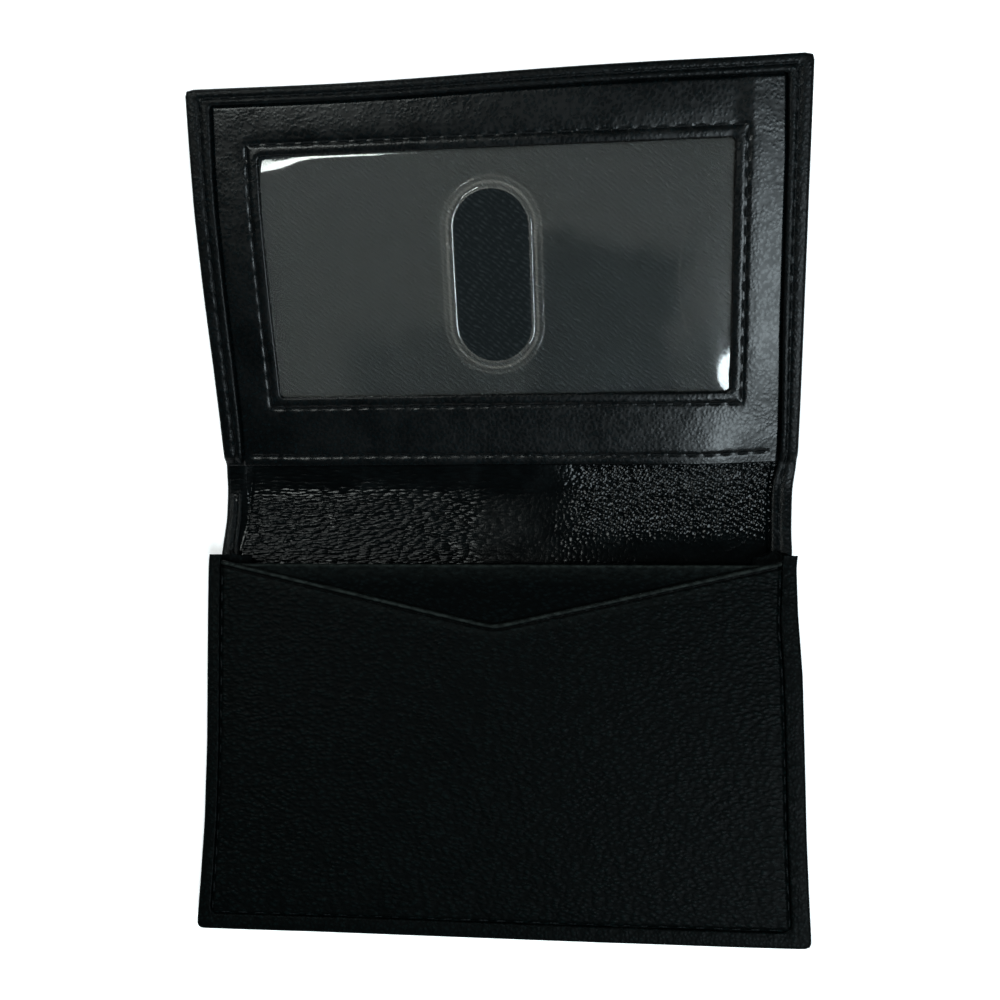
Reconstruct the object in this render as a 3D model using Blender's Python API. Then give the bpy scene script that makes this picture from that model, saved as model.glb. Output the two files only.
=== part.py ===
"""Bifold card wallet with a clear identity window, lying open with its flap raised.

Each piece is drawn flat, as its leather pattern is cut: x across the wallet, s along the leather from
the pocket's mouth towards the flap, and h up through the plies. fold() then lays the piece along the
wallet's side profile. The pocket's front, its divider and their seam lie on a slope of their own.
The wallet is in metres, +Y towards the flap, and stands on the pocket's outer leather.
"""

import math

import bmesh
import bpy
from mathutils import Matrix, Vector

# Outline, measured along the leather
WIDTH = 0.104
POCKET_LENGTH = 0.0657
SPINE_LENGTH = 0.0188
FLAP_LENGTH = 0.0654
CORNER_RADIUS = 0.0015
EDGE_ROUND = 0.0006

# Side profile at rest
FOLD_TO_HEM = 0.0038
FOLD_ARC = 0.008
RISE_AT_FOLD = math.radians(27)
RISE_AT_TOP = math.radians(19)
FRONT_HEIGHT_AT_MOUTH = 0.0076

# Fold lines
LOWER_FOLD = 0.001
FOLD_GAP = 0.0003
PIVOT_CLEARANCE = 0.0001
FLAT_OPEN_TURN = math.radians(23)

# Plies
SHELL = 0.0007
TURNED = 0.0005
LINING = 0.0004
TWILL = 0.00025
FILM = 0.0002
PANEL = 0.0006
FRONT = 0.0006
DIVIDER = 0.0005
GUSSET = 0.00045
GUSSET_TAIL = 0.0002
PLY_GAP = 0.00015

# Turned edges
BAND_WIDTH = 0.0043
RIM_WIDTH = 0.0021
HEM_RAMP = 0.001
HEM_CLEARANCE = 0.0002

# Identity window, by the widths of leather left round it
PANEL_SIDE_STRIP = 0.0076
PANEL_LOW_STRIP = 0.0121
PANEL_TOP_STRIP = 0.0074
WINDOW_RADIUS = 0.0008
WINDOW_SEAM_INSET = 0.002
FILM_MARGIN = 0.0015
THUMB_WIDTH = 0.013
THUMB_LENGTH = 0.0292
THUMB_X = -0.0004
THUMB_DROP = 0.0003
WELD_WIDTH = 0.0023
WELD_HEIGHT = 0.0001
LINING_OVERLAP = 0.006
LINING_BUTT = 0.0003

# Pocket
FRONT_END_DROP = 0.0008
V_DEPTH = 0.012
V_APEX_HALF = 0.0012
V_APEX_RISE = 0.00015
DIVIDER_DROP = 0.0016
PLEAT_DEPTH_AT_MOUTH = 0.007
PLEAT_DEPTH_AT_BOTTOM = 0.0035
PLEAT_WALL = 0.0009
LEG_SHARE = 0.4
WALL_CLEARANCE = 0.0003

# Seams
THREAD = 0.00035
STITCH_PITCH = 0.003
STITCH_LIFT = 0.00012
SEAM_GROOVE = 0.0007
SEAM_GROOVE_DEPTH = 0.00025
HIDDEN_GROOVE_DEPTH = 0.00035
THREAD_CLEARANCE = 0.00003
EDGE_SEAM_INSET = 0.0025
HEM_SEAM_INSET = 0.0016
SEAM_END = 0.0012
POCKET_SEAM_DROP = 0.0032

# How finely curved forms are divided
FOLD_STEPS = 8
FLAP_STEPS = 8
ARC_STEPS = 4
THUMB_STEPS = 10
OVERRUN = 0.002
WELD = 0.000001

# Places that follow from the sizes above
HALF_WIDTH = WIDTH / 2
FLAP_TOP = SPINE_LENGTH + FLAP_LENGTH
UPPER_FOLD = SPINE_LENGTH - FOLD_TO_HEM
FLAT_SPINE = UPPER_FOLD - FOLD_ARC / 2
BAND_INNER = HALF_WIDTH - BAND_WIDTH
RIM_INNER = HALF_WIDTH - RIM_WIDTH
PLY_HALF = HALF_WIDTH - SHELL - PLY_GAP
LINING_LOW = SHELL + PLY_GAP
LINING_TOP = LINING_LOW + LINING
SPINE_BAND_LOW = LINING_TOP + PLY_GAP
SPINE_BAND_TOP = SPINE_BAND_LOW + TURNED
FILM_LOW = LINING_LOW + TWILL + PLY_GAP
PANEL_LOW = FILM_LOW + FILM + PLY_GAP
PANEL_TOP = PANEL_LOW + PANEL
FLAP_BAND_LOW = PANEL_TOP + PLY_GAP
FLAP_BAND_TOP = FLAP_BAND_LOW + TURNED
GUSSET_LOW = SPINE_BAND_TOP + PLY_GAP
FRONT_STACK = FRONT + PLY_GAP + DIVIDER + PLY_GAP
FRONT_HEIGHT_AT_BOTTOM = GUSSET_LOW + GUSSET_TAIL + FRONT_STACK
FRONT_SLOPE = math.atan2(FRONT_HEIGHT_AT_MOUTH - FRONT_HEIGHT_AT_BOTTOM, POCKET_LENGTH)
PIVOT_HEIGHT = SPINE_BAND_TOP + PIVOT_CLEARANCE
LINING_END = SPINE_LENGTH + LINING_OVERLAP
WINDOW_HALF_WIDTH = BAND_INNER - PANEL_SIDE_STRIP
WINDOW_LOW = SPINE_LENGTH + PANEL_LOW_STRIP
WINDOW_HIGH = FLAP_TOP - BAND_WIDTH - PANEL_TOP_STRIP
THUMB_S = (WINDOW_LOW + WINDOW_HIGH) / 2 - THUMB_DROP
SEAM_X = WINDOW_HALF_WIDTH + WINDOW_SEAM_INSET
SEAM_LOW = WINDOW_LOW - WINDOW_SEAM_INSET
SEAM_HIGH = WINDOW_HIGH + WINDOW_SEAM_INSET

LEATHER = ("black_leather", (0.012, 0.013, 0.015), 0.42)
LINING_LEATHER = ("glazed_lining_leather", (0.010, 0.011, 0.012), 0.30)
CLOTH = ("twill_lining", (0.016, 0.017, 0.017), 0.85)
CLEAR = ("clear_film", (0.80, 0.82, 0.82), 0.12)
COTTON = ("black_thread", (0.010, 0.010, 0.011), 0.65)


def clear_scene():
    for obj in list(bpy.data.objects):
        bpy.data.objects.remove(obj)


def make_collection(name):
    collection = bpy.data.collections.new(name)
    bpy.context.scene.collection.children.link(collection)
    return collection


def make_material(name, colour, roughness):
    material = bpy.data.materials.new(name)
    material.use_nodes = True
    shader = material.node_tree.nodes["Principled BSDF"]
    shader.inputs["Base Color"].default_value = (*colour, 1)
    shader.inputs["Roughness"].default_value = roughness
    shader.inputs["Metallic"].default_value = 0
    if name == CLEAR[0]:
        shader.inputs["Transmission Weight"].default_value = 1
    return material


def arc_end(y, z, slope_from, slope_to, length):
    """Where an arc of this length ends that starts at y, z and turns evenly between two slopes."""
    middle = (slope_from + slope_to) / 2
    half_turn = (slope_to - slope_from) / 2
    chord = length * (math.sin(half_turn) / half_turn if half_turn else 1)
    return y + chord * math.cos(middle), z + chord * math.sin(middle)


def profile(s):
    """The outer leather's line at s: its y, its z and its slope."""
    if s <= FLAT_SPINE:
        return s, 0.0, 0.0
    along_fold = min(s - FLAT_SPINE, FOLD_ARC)
    slope = RISE_AT_FOLD * along_fold / FOLD_ARC
    y, z = arc_end(FLAT_SPINE, 0, 0, slope, along_fold)
    along_flap = s - FLAT_SPINE - FOLD_ARC
    if along_flap > 0:
        flap = FLAP_TOP - FLAT_SPINE - FOLD_ARC
        slope = RISE_AT_FOLD + (RISE_AT_TOP - RISE_AT_FOLD) * along_flap / flap
        y, z = arc_end(y, z, RISE_AT_FOLD, slope, along_flap)
    return y, z, slope


def folded(x, s, h):
    """The place in the wallet of a point of the flat pattern."""
    y, z, slope = profile(s)
    return Vector((x, y - h * math.sin(slope), z + h * math.cos(slope)))


def fold_edge(h):
    """How far a ply at height h ends from the upper fold, so that the flap can also open flat."""
    return FOLD_GAP / 2 + (PIVOT_HEIGHT - h) * math.tan(FLAT_OPEN_TURN / 2)


def bend_lines():
    """Where the profile's curved stretches are divided."""
    flap_start = FLAT_SPINE + FOLD_ARC
    lines = [FLAT_SPINE + FOLD_ARC * k / FOLD_STEPS for k in range(FOLD_STEPS + 1)]
    lines += [flap_start + (FLAP_TOP - flap_start) * k / FLAP_STEPS for k in range(1, FLAP_STEPS)]
    return lines


def weld(mesh):
    shape = bmesh.new()
    shape.from_mesh(mesh)
    bmesh.ops.remove_doubles(shape, verts=shape.verts, dist=WELD)
    bmesh.ops.recalc_face_normals(shape, faces=shape.faces)
    shape.to_mesh(mesh)
    shape.free()


def to_mesh(obj):
    """Replaces a curve, or a mesh and its modifiers, by the plain mesh that it makes."""
    bpy.context.view_layer.update()
    graph = bpy.context.evaluated_depsgraph_get()
    mesh = bpy.data.meshes.new_from_object(obj.evaluated_get(graph))
    mesh.transform(obj.matrix_world)
    weld(mesh)
    name = obj.name
    collection = obj.users_collection[0]
    bpy.data.objects.remove(obj)
    result = bpy.data.objects.new(name, mesh)
    mesh.name = name
    collection.objects.link(result)
    return result


def flat_solid(name, collection, loops, thickness):
    """A 2D outline, with any holes as further loops, given a thickness about its plane."""
    curve = bpy.data.curves.new(name, "CURVE")
    curve.dimensions = "2D"
    curve.fill_mode = "BOTH"
    curve.extrude = thickness / 2
    for loop in loops:
        spline = curve.splines.new("POLY")
        spline.points.add(len(loop) - 1)
        for point, (u, v) in zip(spline.points, loop):
            point.co = (u, v, 0, 1)
        spline.use_cyclic_u = True
    obj = bpy.data.objects.new(name, curve)
    collection.objects.link(obj)
    return obj


def sheet(name, loops, low, high):
    """A ply drawn in x and s, between two heights."""
    obj = flat_solid(name, parts, loops, high - low)
    obj.location.z = (low + high) / 2
    return to_mesh(obj)


def cutting_sheet(name, loops, low, high):
    obj = flat_solid(name, cutters, loops, high - low)
    obj.location.z = (low + high) / 2
    return to_mesh(obj)


def side_block(name, collection, outline, half_width):
    """A block drawn in s and h, as seen from the side, and as wide as given."""
    obj = flat_solid(name, collection, [outline], 2 * half_width)
    obj.matrix_world = Matrix(((0, 0, 1, 0), (1, 0, 0, 0), (0, 1, 0, 0), (0, 0, 0, 1)))
    return to_mesh(obj)


def rectangle(left, right, low, high):
    return [(left, low), (right, low), (right, high), (left, high)]


def arc(centre_u, centre_v, radius, start, end, steps):
    """Points of an arc, angles in quarter turns."""
    turns = [start + (end - start) * k / steps for k in range(steps + 1)]
    return [
        (centre_u + radius * math.cos(turn * math.pi / 2), centre_v + radius * math.sin(turn * math.pi / 2))
        for turn in turns
    ]


def rounded_rectangle(left, right, low, high, radius):
    return (
        arc(left + radius, low + radius, radius, 2, 3, ARC_STEPS)
        + arc(right - radius, low + radius, radius, 3, 4, ARC_STEPS)
        + arc(right - radius, high - radius, radius, 0, 1, ARC_STEPS)
        + arc(left + radius, high - radius, radius, 1, 2, ARC_STEPS)
    )


def obround(centre_u, centre_v, width, length):
    radius = width / 2
    straight = length / 2 - radius
    return (
        arc(centre_u, centre_v + straight, radius, 0, 2, THUMB_STEPS)
        + arc(centre_u, centre_v - straight, radius, 2, 4, THUMB_STEPS)
    )


def with_tool(obj, tool, operation):
    """The object after one Boolean with a tool that is then used up."""
    tool.hide_render = True
    tool.display_type = "WIRE"
    boolean = obj.modifiers.new(tool.name, "BOOLEAN")
    boolean.operation = operation
    boolean.object = tool
    result = to_mesh(obj)
    bpy.data.objects.remove(tool)
    return result


def cut(obj, tool):
    return with_tool(obj, tool, "DIFFERENCE")


def cut_ring(obj, left, right, low, high, floor, ceiling):
    """Cuts a rectangular seam groove along these lines."""
    half = SEAM_GROOVE / 2
    outer = rectangle(left - half, right + half, low - half, high + half)
    inner = rectangle(left + half, right - half, low + half, high - half)
    return cut(obj, cutting_sheet("groove", [outer, inner], floor, ceiling))


def round_outer_edges(obj, closed_end):
    """Rounds the corners at the closed end (+1 top, -1 bottom, 0 none), then the edges that the leather turns over."""
    shape = bmesh.new()
    shape.from_mesh(obj.data)
    bmesh.ops.dissolve_limit(shape, angle_limit=math.radians(1), verts=shape.verts, edges=shape.edges)
    if closed_end:
        end = max(closed_end * v.co.y for v in shape.verts)
        corners = [
            edge
            for edge in shape.edges
            if all(abs(closed_end * v.co.y - end) < WELD for v in edge.verts)
            and abs(edge.verts[0].co.x - edge.verts[1].co.x) < WELD
        ]
        bmesh.ops.bevel(
            shape, geom=corners, offset=CORNER_RADIUS, segments=ARC_STEPS, profile=0.5, affect="EDGES"
        )
    shape.normal_update()

    def is_outer_wall(face):
        if abs(face.normal.z) > 0.1:
            return False
        if closed_end:
            return closed_end * face.normal.y > -0.1
        return abs(face.normal.y) < 0.1

    rims = [
        edge
        for edge in shape.edges
        if len(edge.link_faces) == 2
        and sum(is_outer_wall(face) for face in edge.link_faces) == 1
        and sum(abs(face.normal.z) > 0.5 for face in edge.link_faces) == 1
    ]
    bmesh.ops.bevel(shape, geom=rims, offset=EDGE_ROUND, segments=2, profile=0.5, affect="EDGES")
    shape.to_mesh(obj.data)
    shape.free()


def fold(obj):
    """Divides a flat piece at the bend lines and lays it along the wallet's profile."""
    shape = bmesh.new()
    shape.from_mesh(obj.data)
    for s in bend_lines():
        bmesh.ops.bisect_plane(
            shape,
            geom=shape.verts[:] + shape.edges[:] + shape.faces[:],
            dist=WELD,
            plane_co=(0, s, 0),
            plane_no=(0, 1, 0),
        )
    for v in shape.verts:
        v.co = folded(*v.co)
    bmesh.ops.recalc_face_normals(shape, faces=shape.faces)
    shape.to_mesh(obj.data)
    shape.free()


def finish_piece(obj, body, look):
    """Gives a piece its material and hangs it on its body's pivot, where it already lies."""
    obj.data.materials.clear()
    obj.data.materials.append(materials[look[0]])
    obj.data.shade_smooth()
    obj.data.set_sharp_from_angle(angle=math.radians(30))
    obj.location += -pivot_places[body]
    obj.parent = pivots[body]


def front_place(obj):
    """Tilts a piece drawn on the pocket's front plane about the pocket's bottom edge."""
    tilt = Matrix.Rotation(FRONT_SLOPE, 4, "X")
    lift = Matrix.Translation((0, -POCKET_LENGTH, FRONT_HEIGHT_AT_BOTTOM))
    obj.data.transform(lift @ tilt)


def front_height(y):
    """Height of the pocket's front face at y."""
    return FRONT_HEIGHT_AT_BOTTOM + (y + POCKET_LENGTH) * math.tan(FRONT_SLOPE)


def up_the_front(y):
    """Distance up the pocket's sloping front that lies at y."""
    return (y + POCKET_LENGTH) / math.cos(FRONT_SLOPE)


def stitch_points(corners, closed, dip, crest):
    """A thread's course: it dips at each stitch hole and rises between holes."""
    legs = list(zip(corners, corners[1:] + corners[:1]))
    if not closed:
        legs = legs[:-1]
    points = []
    for (x0, s0), (x1, s1) in legs:
        stitches = max(1, round(math.hypot(x1 - x0, s1 - s0) / STITCH_PITCH))
        for k in range(2 * stitches):
            share = k / (2 * stitches)
            points.append((x0 + (x1 - x0) * share, s0 + (s1 - s0) * share, crest if k % 2 else dip))
    if not closed:
        points.append((*corners[-1], dip))
    return points


def thread(name, corners, closed, dip, crest):
    """A sewing thread along straight legs, as one wavy tube."""
    curve = bpy.data.curves.new(name, "CURVE")
    curve.dimensions = "3D"
    curve.bevel_depth = THREAD / 2
    curve.bevel_resolution = 0
    curve.use_fill_caps = not closed
    points = stitch_points(corners, closed, dip, crest)
    spline = curve.splines.new("POLY")
    spline.points.add(len(points) - 1)
    for point, place in zip(spline.points, points):
        point.co = (*place, 1)
    spline.use_cyclic_u = closed
    obj = bpy.data.objects.new(name, curve)
    parts.objects.link(obj)
    return to_mesh(obj)


def thread_on(name, corners, closed, surface, depth=SEAM_GROOVE_DEPTH, lift=STITCH_LIFT):
    """A thread in a groove of a surface at this height."""
    dip = surface - depth + THREAD_CLEARANCE + THREAD / 2
    return thread(name, corners, closed, dip, dip + lift)


def make_pocket_shell():
    """Outer leather under the pocket, turned over at both sides and up over the bottom edge."""
    mouth = LOWER_FOLD - FOLD_GAP / 2
    bottom = -POCKET_LENGTH
    rim = bottom + RIM_WIDTH
    top = FRONT_HEIGHT_AT_BOTTOM
    body = side_block(
        "pocket_shell",
        parts,
        [(bottom, 0), (mouth, 0), (mouth, SPINE_BAND_TOP), (rim, SPINE_BAND_TOP), (rim, top), (bottom, top)],
        HALF_WIDTH,
    )
    round_outer_edges(body, -1)
    inner = bottom + SHELL
    past = rim + PLY_GAP
    cavity = side_block(
        "cavity",
        cutters,
        [
            (inner, SHELL),
            (mouth + OVERRUN, SHELL),
            (mouth + OVERRUN, SPINE_BAND_LOW),
            (past, SPINE_BAND_LOW),
            (past, top - TURNED),
            (inner, top - TURNED),
        ],
        HALF_WIDTH - SHELL,
    )
    body = cut(body, cavity)
    body = cut(
        body,
        cutting_sheet(
            "opening", [rectangle(-BAND_INNER, BAND_INNER, rim, mouth + OVERRUN)], LINING_LOW, top + OVERRUN
        ),
    )
    seam = HALF_WIDTH - EDGE_SEAM_INSET
    floor = SPINE_BAND_TOP - HIDDEN_GROOVE_DEPTH
    body = cut_ring(body, -seam, seam, rim + OVERRUN, mouth + 2 * OVERRUN, floor, SPINE_BAND_TOP + SHELL)
    return body


def make_spine_shell():
    """Outer leather of the spine, turned over at both sides."""
    low = LOWER_FOLD + FOLD_GAP / 2
    high = UPPER_FOLD - fold_edge(SPINE_BAND_TOP)
    outer_high = UPPER_FOLD - fold_edge(0)
    body = side_block(
        "spine_shell",
        parts,
        [(low, 0), (outer_high, 0), (high, SPINE_BAND_TOP), (low, SPINE_BAND_TOP)],
        HALF_WIDTH,
    )
    round_outer_edges(body, 0)
    cavity = side_block(
        "cavity",
        cutters,
        [
            (low - OVERRUN, SHELL),
            (high + OVERRUN, SHELL),
            (high + OVERRUN, SPINE_BAND_LOW),
            (low - OVERRUN, SPINE_BAND_LOW),
        ],
        HALF_WIDTH - SHELL,
    )
    body = cut(body, cavity)
    body = cut(
        body,
        cutting_sheet(
            "opening",
            [rectangle(-BAND_INNER, BAND_INNER, low - OVERRUN, high + OVERRUN)],
            LINING_LOW,
            SPINE_BAND_TOP + OVERRUN,
        ),
    )
    seam = HALF_WIDTH - EDGE_SEAM_INSET
    floor = SPINE_BAND_TOP - SEAM_GROOVE_DEPTH
    body = cut_ring(body, -seam, seam, low - OVERRUN, high + OVERRUN, floor, SPINE_BAND_TOP + SHELL)
    fold(body)
    return body


def make_flap_shell():
    """Outer leather of the flap, turned over the window panel at both sides and the top."""
    low = UPPER_FOLD + fold_edge(SPINE_BAND_TOP)
    outer_low = UPPER_FOLD + fold_edge(0)
    ramp_end = SPINE_LENGTH - HEM_CLEARANCE
    ramp_start = ramp_end - HEM_RAMP
    body = side_block(
        "flap_shell",
        parts,
        [
            (outer_low, 0),
            (FLAP_TOP, 0),
            (FLAP_TOP, FLAP_BAND_TOP),
            (ramp_end, FLAP_BAND_TOP),
            (ramp_start, SPINE_BAND_TOP),
            (low, SPINE_BAND_TOP),
        ],
        HALF_WIDTH,
    )
    round_outer_edges(body, 1)
    inner_top = FLAP_TOP - SHELL
    cavity = side_block(
        "cavity",
        cutters,
        [
            (low - OVERRUN, SHELL),
            (inner_top, SHELL),
            (inner_top, FLAP_BAND_LOW),
            (ramp_end - PLY_GAP, FLAP_BAND_LOW),
            (ramp_start - PLY_GAP, SPINE_BAND_LOW),
            (low - OVERRUN, SPINE_BAND_LOW),
        ],
        HALF_WIDTH - SHELL,
    )
    body = cut(body, cavity)
    body = cut(
        body,
        cutting_sheet(
            "opening",
            [rectangle(-BAND_INNER, BAND_INNER, low - OVERRUN, FLAP_TOP - BAND_WIDTH)],
            LINING_LOW,
            FLAP_BAND_TOP + OVERRUN,
        ),
    )
    seam = HALF_WIDTH - EDGE_SEAM_INSET
    floor = FLAP_BAND_TOP - SEAM_GROOVE_DEPTH
    body = cut_ring(body, -seam, seam, low, FLAP_TOP - EDGE_SEAM_INSET, floor, FLAP_BAND_TOP + SHELL)
    fold(body)
    return body


def make_linings():
    """The glazed lining leather from the pocket's bottom to under the window panel, and the twill beyond it."""
    bottom = -POCKET_LENGTH + SHELL + PLY_GAP
    top = FLAP_TOP - SHELL - PLY_GAP
    lower_gap = FOLD_GAP / 2
    upper_gap = fold_edge(LINING_LOW)
    stretches = (
        ("pocket_lining", bottom, LOWER_FOLD - lower_gap, "pocket"),
        ("spine_lining", LOWER_FOLD + lower_gap, UPPER_FOLD - upper_gap, "spine"),
        ("flap_lining_end", UPPER_FOLD + upper_gap, LINING_END, "flap"),
    )
    for name, low, high, body in stretches:
        piece = sheet(name, [rectangle(-PLY_HALF, PLY_HALF, low, high)], LINING_LOW, LINING_TOP)
        fold(piece)
        finish_piece(piece, body, LINING_LEATHER)
    twill = rectangle(-PLY_HALF, PLY_HALF, LINING_END + LINING_BUTT, top)
    piece = sheet("id_pocket_twill_lining", [twill], LINING_LOW, LINING_LOW + TWILL)
    fold(piece)
    finish_piece(piece, "flap", CLOTH)


def make_window_panel():
    """The leather frame of the identity window, with grooves for its two seams."""
    window = rounded_rectangle(-WINDOW_HALF_WIDTH, WINDOW_HALF_WIDTH, WINDOW_LOW, WINDOW_HIGH, WINDOW_RADIUS)
    outline = rectangle(-PLY_HALF, PLY_HALF, SPINE_LENGTH, FLAP_TOP - SHELL - PLY_GAP)
    panel = sheet("id_window_panel", [outline, window], PANEL_LOW, PANEL_TOP)
    floor = PANEL_TOP - SEAM_GROOVE_DEPTH
    panel = cut_ring(panel, -SEAM_X, SEAM_X, SEAM_LOW, SEAM_HIGH, floor, PANEL_TOP + SHELL)
    hem = SPINE_LENGTH + HEM_SEAM_INSET
    half = SEAM_GROOVE / 2
    groove = rectangle(-BAND_INNER, BAND_INNER, hem - half, hem + half)
    panel = cut(panel, cutting_sheet("groove", [groove], floor, PANEL_TOP + SHELL))
    fold(panel)
    finish_piece(panel, "flap", LEATHER)


def make_film():
    """The clear film behind the window, with a thumb slot and the welded rim round it."""
    half = SEAM_X + FILM_MARGIN
    outline = rectangle(-half, half, SEAM_LOW - FILM_MARGIN, SEAM_HIGH + FILM_MARGIN)
    slot = obround(THUMB_X, THUMB_S, THUMB_WIDTH, THUMB_LENGTH)
    film = sheet("id_window_film", [outline, slot], FILM_LOW, FILM_LOW + FILM)
    rim = obround(THUMB_X, THUMB_S, THUMB_WIDTH + 2 * WELD_WIDTH, THUMB_LENGTH + 2 * WELD_WIDTH)
    weld_rim = cutting_sheet("weld_rim", [rim, slot], FILM_LOW + FILM / 2, FILM_LOW + FILM + WELD_HEIGHT)
    film = with_tool(film, weld_rim, "UNION")
    fold(film)
    finish_piece(film, "flap", CLEAR)


def make_front_panel():
    """The pocket's front, with its shallow V-shaped top."""
    half = RIM_INNER - SEAM_GROOVE
    low = RIM_WIDTH + SEAM_GROOVE
    end = up_the_front(-FRONT_END_DROP)
    apex = up_the_front(-V_DEPTH)
    outline = [
        (-half, low),
        (half, low),
        (half, end),
        (V_APEX_HALF, apex + V_APEX_RISE),
        (0, apex),
        (-V_APEX_HALF, apex + V_APEX_RISE),
        (-half, end),
    ]
    panel = sheet("pocket_front", [outline], -FRONT, 0)
    front_place(panel)
    finish_piece(panel, "pocket", LEATHER)


def make_divider():
    """The straight panel behind the front, which parts the two card slots."""
    half = HALF_WIDTH - TURNED - WALL_CLEARANCE
    low = up_the_front(-POCKET_LENGTH + SHELL + PLY_GAP)
    high = up_the_front(-DIVIDER_DROP)
    top = -FRONT - PLY_GAP
    panel = sheet("pocket_divider", [rectangle(-half, half, low, high)], top - DIVIDER, top)
    front_place(panel)
    finish_piece(panel, "pocket", LEATHER)


def gusset_section(y, pleat_x):
    """The gusset's section at y: a turned rim over the front's edge, a side wall and an inward pleat."""
    top = front_height(y)
    leg_top = top - FRONT_STACK / math.cos(FRONT_SLOPE)
    room = leg_top - GUSSET_LOW
    leg = min(GUSSET, LEG_SHARE * room)
    middle = GUSSET_LOW + room / 2
    outer = HALF_WIDTH
    return [
        (outer - EDGE_ROUND, top),
        (RIM_INNER, top),
        (RIM_INNER, top - TURNED),
        (outer - TURNED, top - TURNED),
        (outer - TURNED, leg_top),
        (pleat_x, middle + leg / 2),
        (pleat_x, middle - leg / 2),
        (outer, GUSSET_LOW),
        (outer, GUSSET_LOW + leg),
        (pleat_x + PLEAT_WALL, middle),
        (outer, leg_top - leg),
        (outer, top - EDGE_ROUND),
    ]


def make_gusset(name, side):
    """An accordion side of the pocket, lofted between its sections from the bottom to the mouth."""
    bottom = -POCKET_LENGTH + RIM_WIDTH + WALL_CLEARANCE
    full_leg_height = GUSSET_LOW + GUSSET / LEG_SHARE + FRONT_STACK / math.cos(FRONT_SLOPE)
    full_leg = (full_leg_height - FRONT_HEIGHT_AT_BOTTOM) / math.tan(FRONT_SLOPE) - POCKET_LENGTH
    shape = bmesh.new()
    rings = []
    for y in (bottom, full_leg, 0):
        share = (y - bottom) / -bottom
        depth = PLEAT_DEPTH_AT_BOTTOM + (PLEAT_DEPTH_AT_MOUTH - PLEAT_DEPTH_AT_BOTTOM) * share
        section = gusset_section(y, HALF_WIDTH - depth)
        rings.append([shape.verts.new((side * x, y, z)) for x, z in section])
    for low_ring, high_ring in zip(rings, rings[1:]):
        for k in range(len(low_ring)):
            after = (k + 1) % len(low_ring)
            shape.faces.new((low_ring[k], low_ring[after], high_ring[after], high_ring[k]))
    shape.faces.new(rings[0])
    shape.faces.new(rings[-1])
    bmesh.ops.recalc_face_normals(shape, faces=shape.faces)
    mesh = bpy.data.meshes.new(name)
    shape.to_mesh(mesh)
    shape.free()
    obj = bpy.data.objects.new(name, mesh)
    parts.objects.link(obj)
    finish_piece(obj, "pocket", LEATHER)


def make_seams():
    """Every visible line of stitches, and the two that hold the gussets to the shell."""
    edge = HALF_WIDTH - EDGE_SEAM_INSET
    start = SPINE_LENGTH + SEAM_END
    top = FLAP_TOP - EDGE_SEAM_INSET
    seam = thread_on(
        "flap_edge_seam", [(-edge, start), (-edge, top), (edge, top), (edge, start)], False, FLAP_BAND_TOP
    )
    fold(seam)
    finish_piece(seam, "flap", COTTON)

    corners = rectangle(-SEAM_X, SEAM_X, SEAM_LOW, SEAM_HIGH)
    seam = thread_on("id_window_seam", corners, True, PANEL_TOP)
    fold(seam)
    finish_piece(seam, "flap", COTTON)

    hem = SPINE_LENGTH + HEM_SEAM_INSET
    hem_end = BAND_INNER - SEAM_GROOVE
    seam = thread_on("id_hem_seam", [(-hem_end, hem), (hem_end, hem)], False, PANEL_TOP)
    fold(seam)
    finish_piece(seam, "flap", COTTON)

    low = LOWER_FOLD + SEAM_END
    high = UPPER_FOLD - SEAM_END
    bottom = -POCKET_LENGTH + RIM_WIDTH + SEAM_END + OVERRUN
    for side, word in ((-1, "left"), (1, "right")):
        seam = thread_on(f"spine_seam_{word}", [(side * edge, low), (side * edge, high)], False, SPINE_BAND_TOP)
        fold(seam)
        finish_piece(seam, "spine", COTTON)
        seam = thread_on(
            f"gusset_seam_{word}",
            [(side * edge, bottom), (side * edge, -SEAM_END)],
            False,
            SPINE_BAND_TOP,
            HIDDEN_GROOVE_DEPTH,
            THREAD_CLEARANCE,
        )
        finish_piece(seam, "pocket", COTTON)

    across = RIM_INNER - SEAM_GROOVE / 2
    low = RIM_WIDTH + SEAM_GROOVE / 2
    high = up_the_front(-POCKET_SEAM_DROP)
    crest = -THREAD_CLEARANCE - THREAD / 2
    seam = thread(
        "pocket_edge_seam",
        [(-across, high), (-across, low), (across, low), (across, high)],
        False,
        crest - 2 * STITCH_LIFT,
        crest,
    )
    front_place(seam)
    finish_piece(seam, "pocket", COTTON)


def make_pivot(name, parent, place, parent_place):
    pivot = bpy.data.objects.new(name, None)
    pivot.empty_display_size = WIDTH / 2
    pivot.location = place - parent_place
    pivot.parent = parent
    parts.objects.link(pivot)
    return pivot


clear_scene()
parts = make_collection("bifold_card_wallet")
cutters = make_collection("cutters")
materials = {look[0]: make_material(*look) for look in (LEATHER, LINING_LEATHER, CLOTH, CLEAR, COTTON)}

middle_y = (folded(0, FLAP_TOP, 0).y - POCKET_LENGTH) / 2
pivot_places = {
    "pocket": Vector((0, 0, 0)),
    "spine": folded(0, LOWER_FOLD, PIVOT_HEIGHT),
    "flap": folded(0, UPPER_FOLD, PIVOT_HEIGHT),
}
pivots = {"pocket": make_pivot("pocket_base", None, Vector((0, -middle_y, 0)), Vector((0, 0, 0)))}
pivots["spine"] = make_pivot("lower_fold", pivots["pocket"], pivot_places["spine"], pivot_places["pocket"])
pivots["flap"] = make_pivot("upper_fold", pivots["spine"], pivot_places["flap"], pivot_places["spine"])

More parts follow.
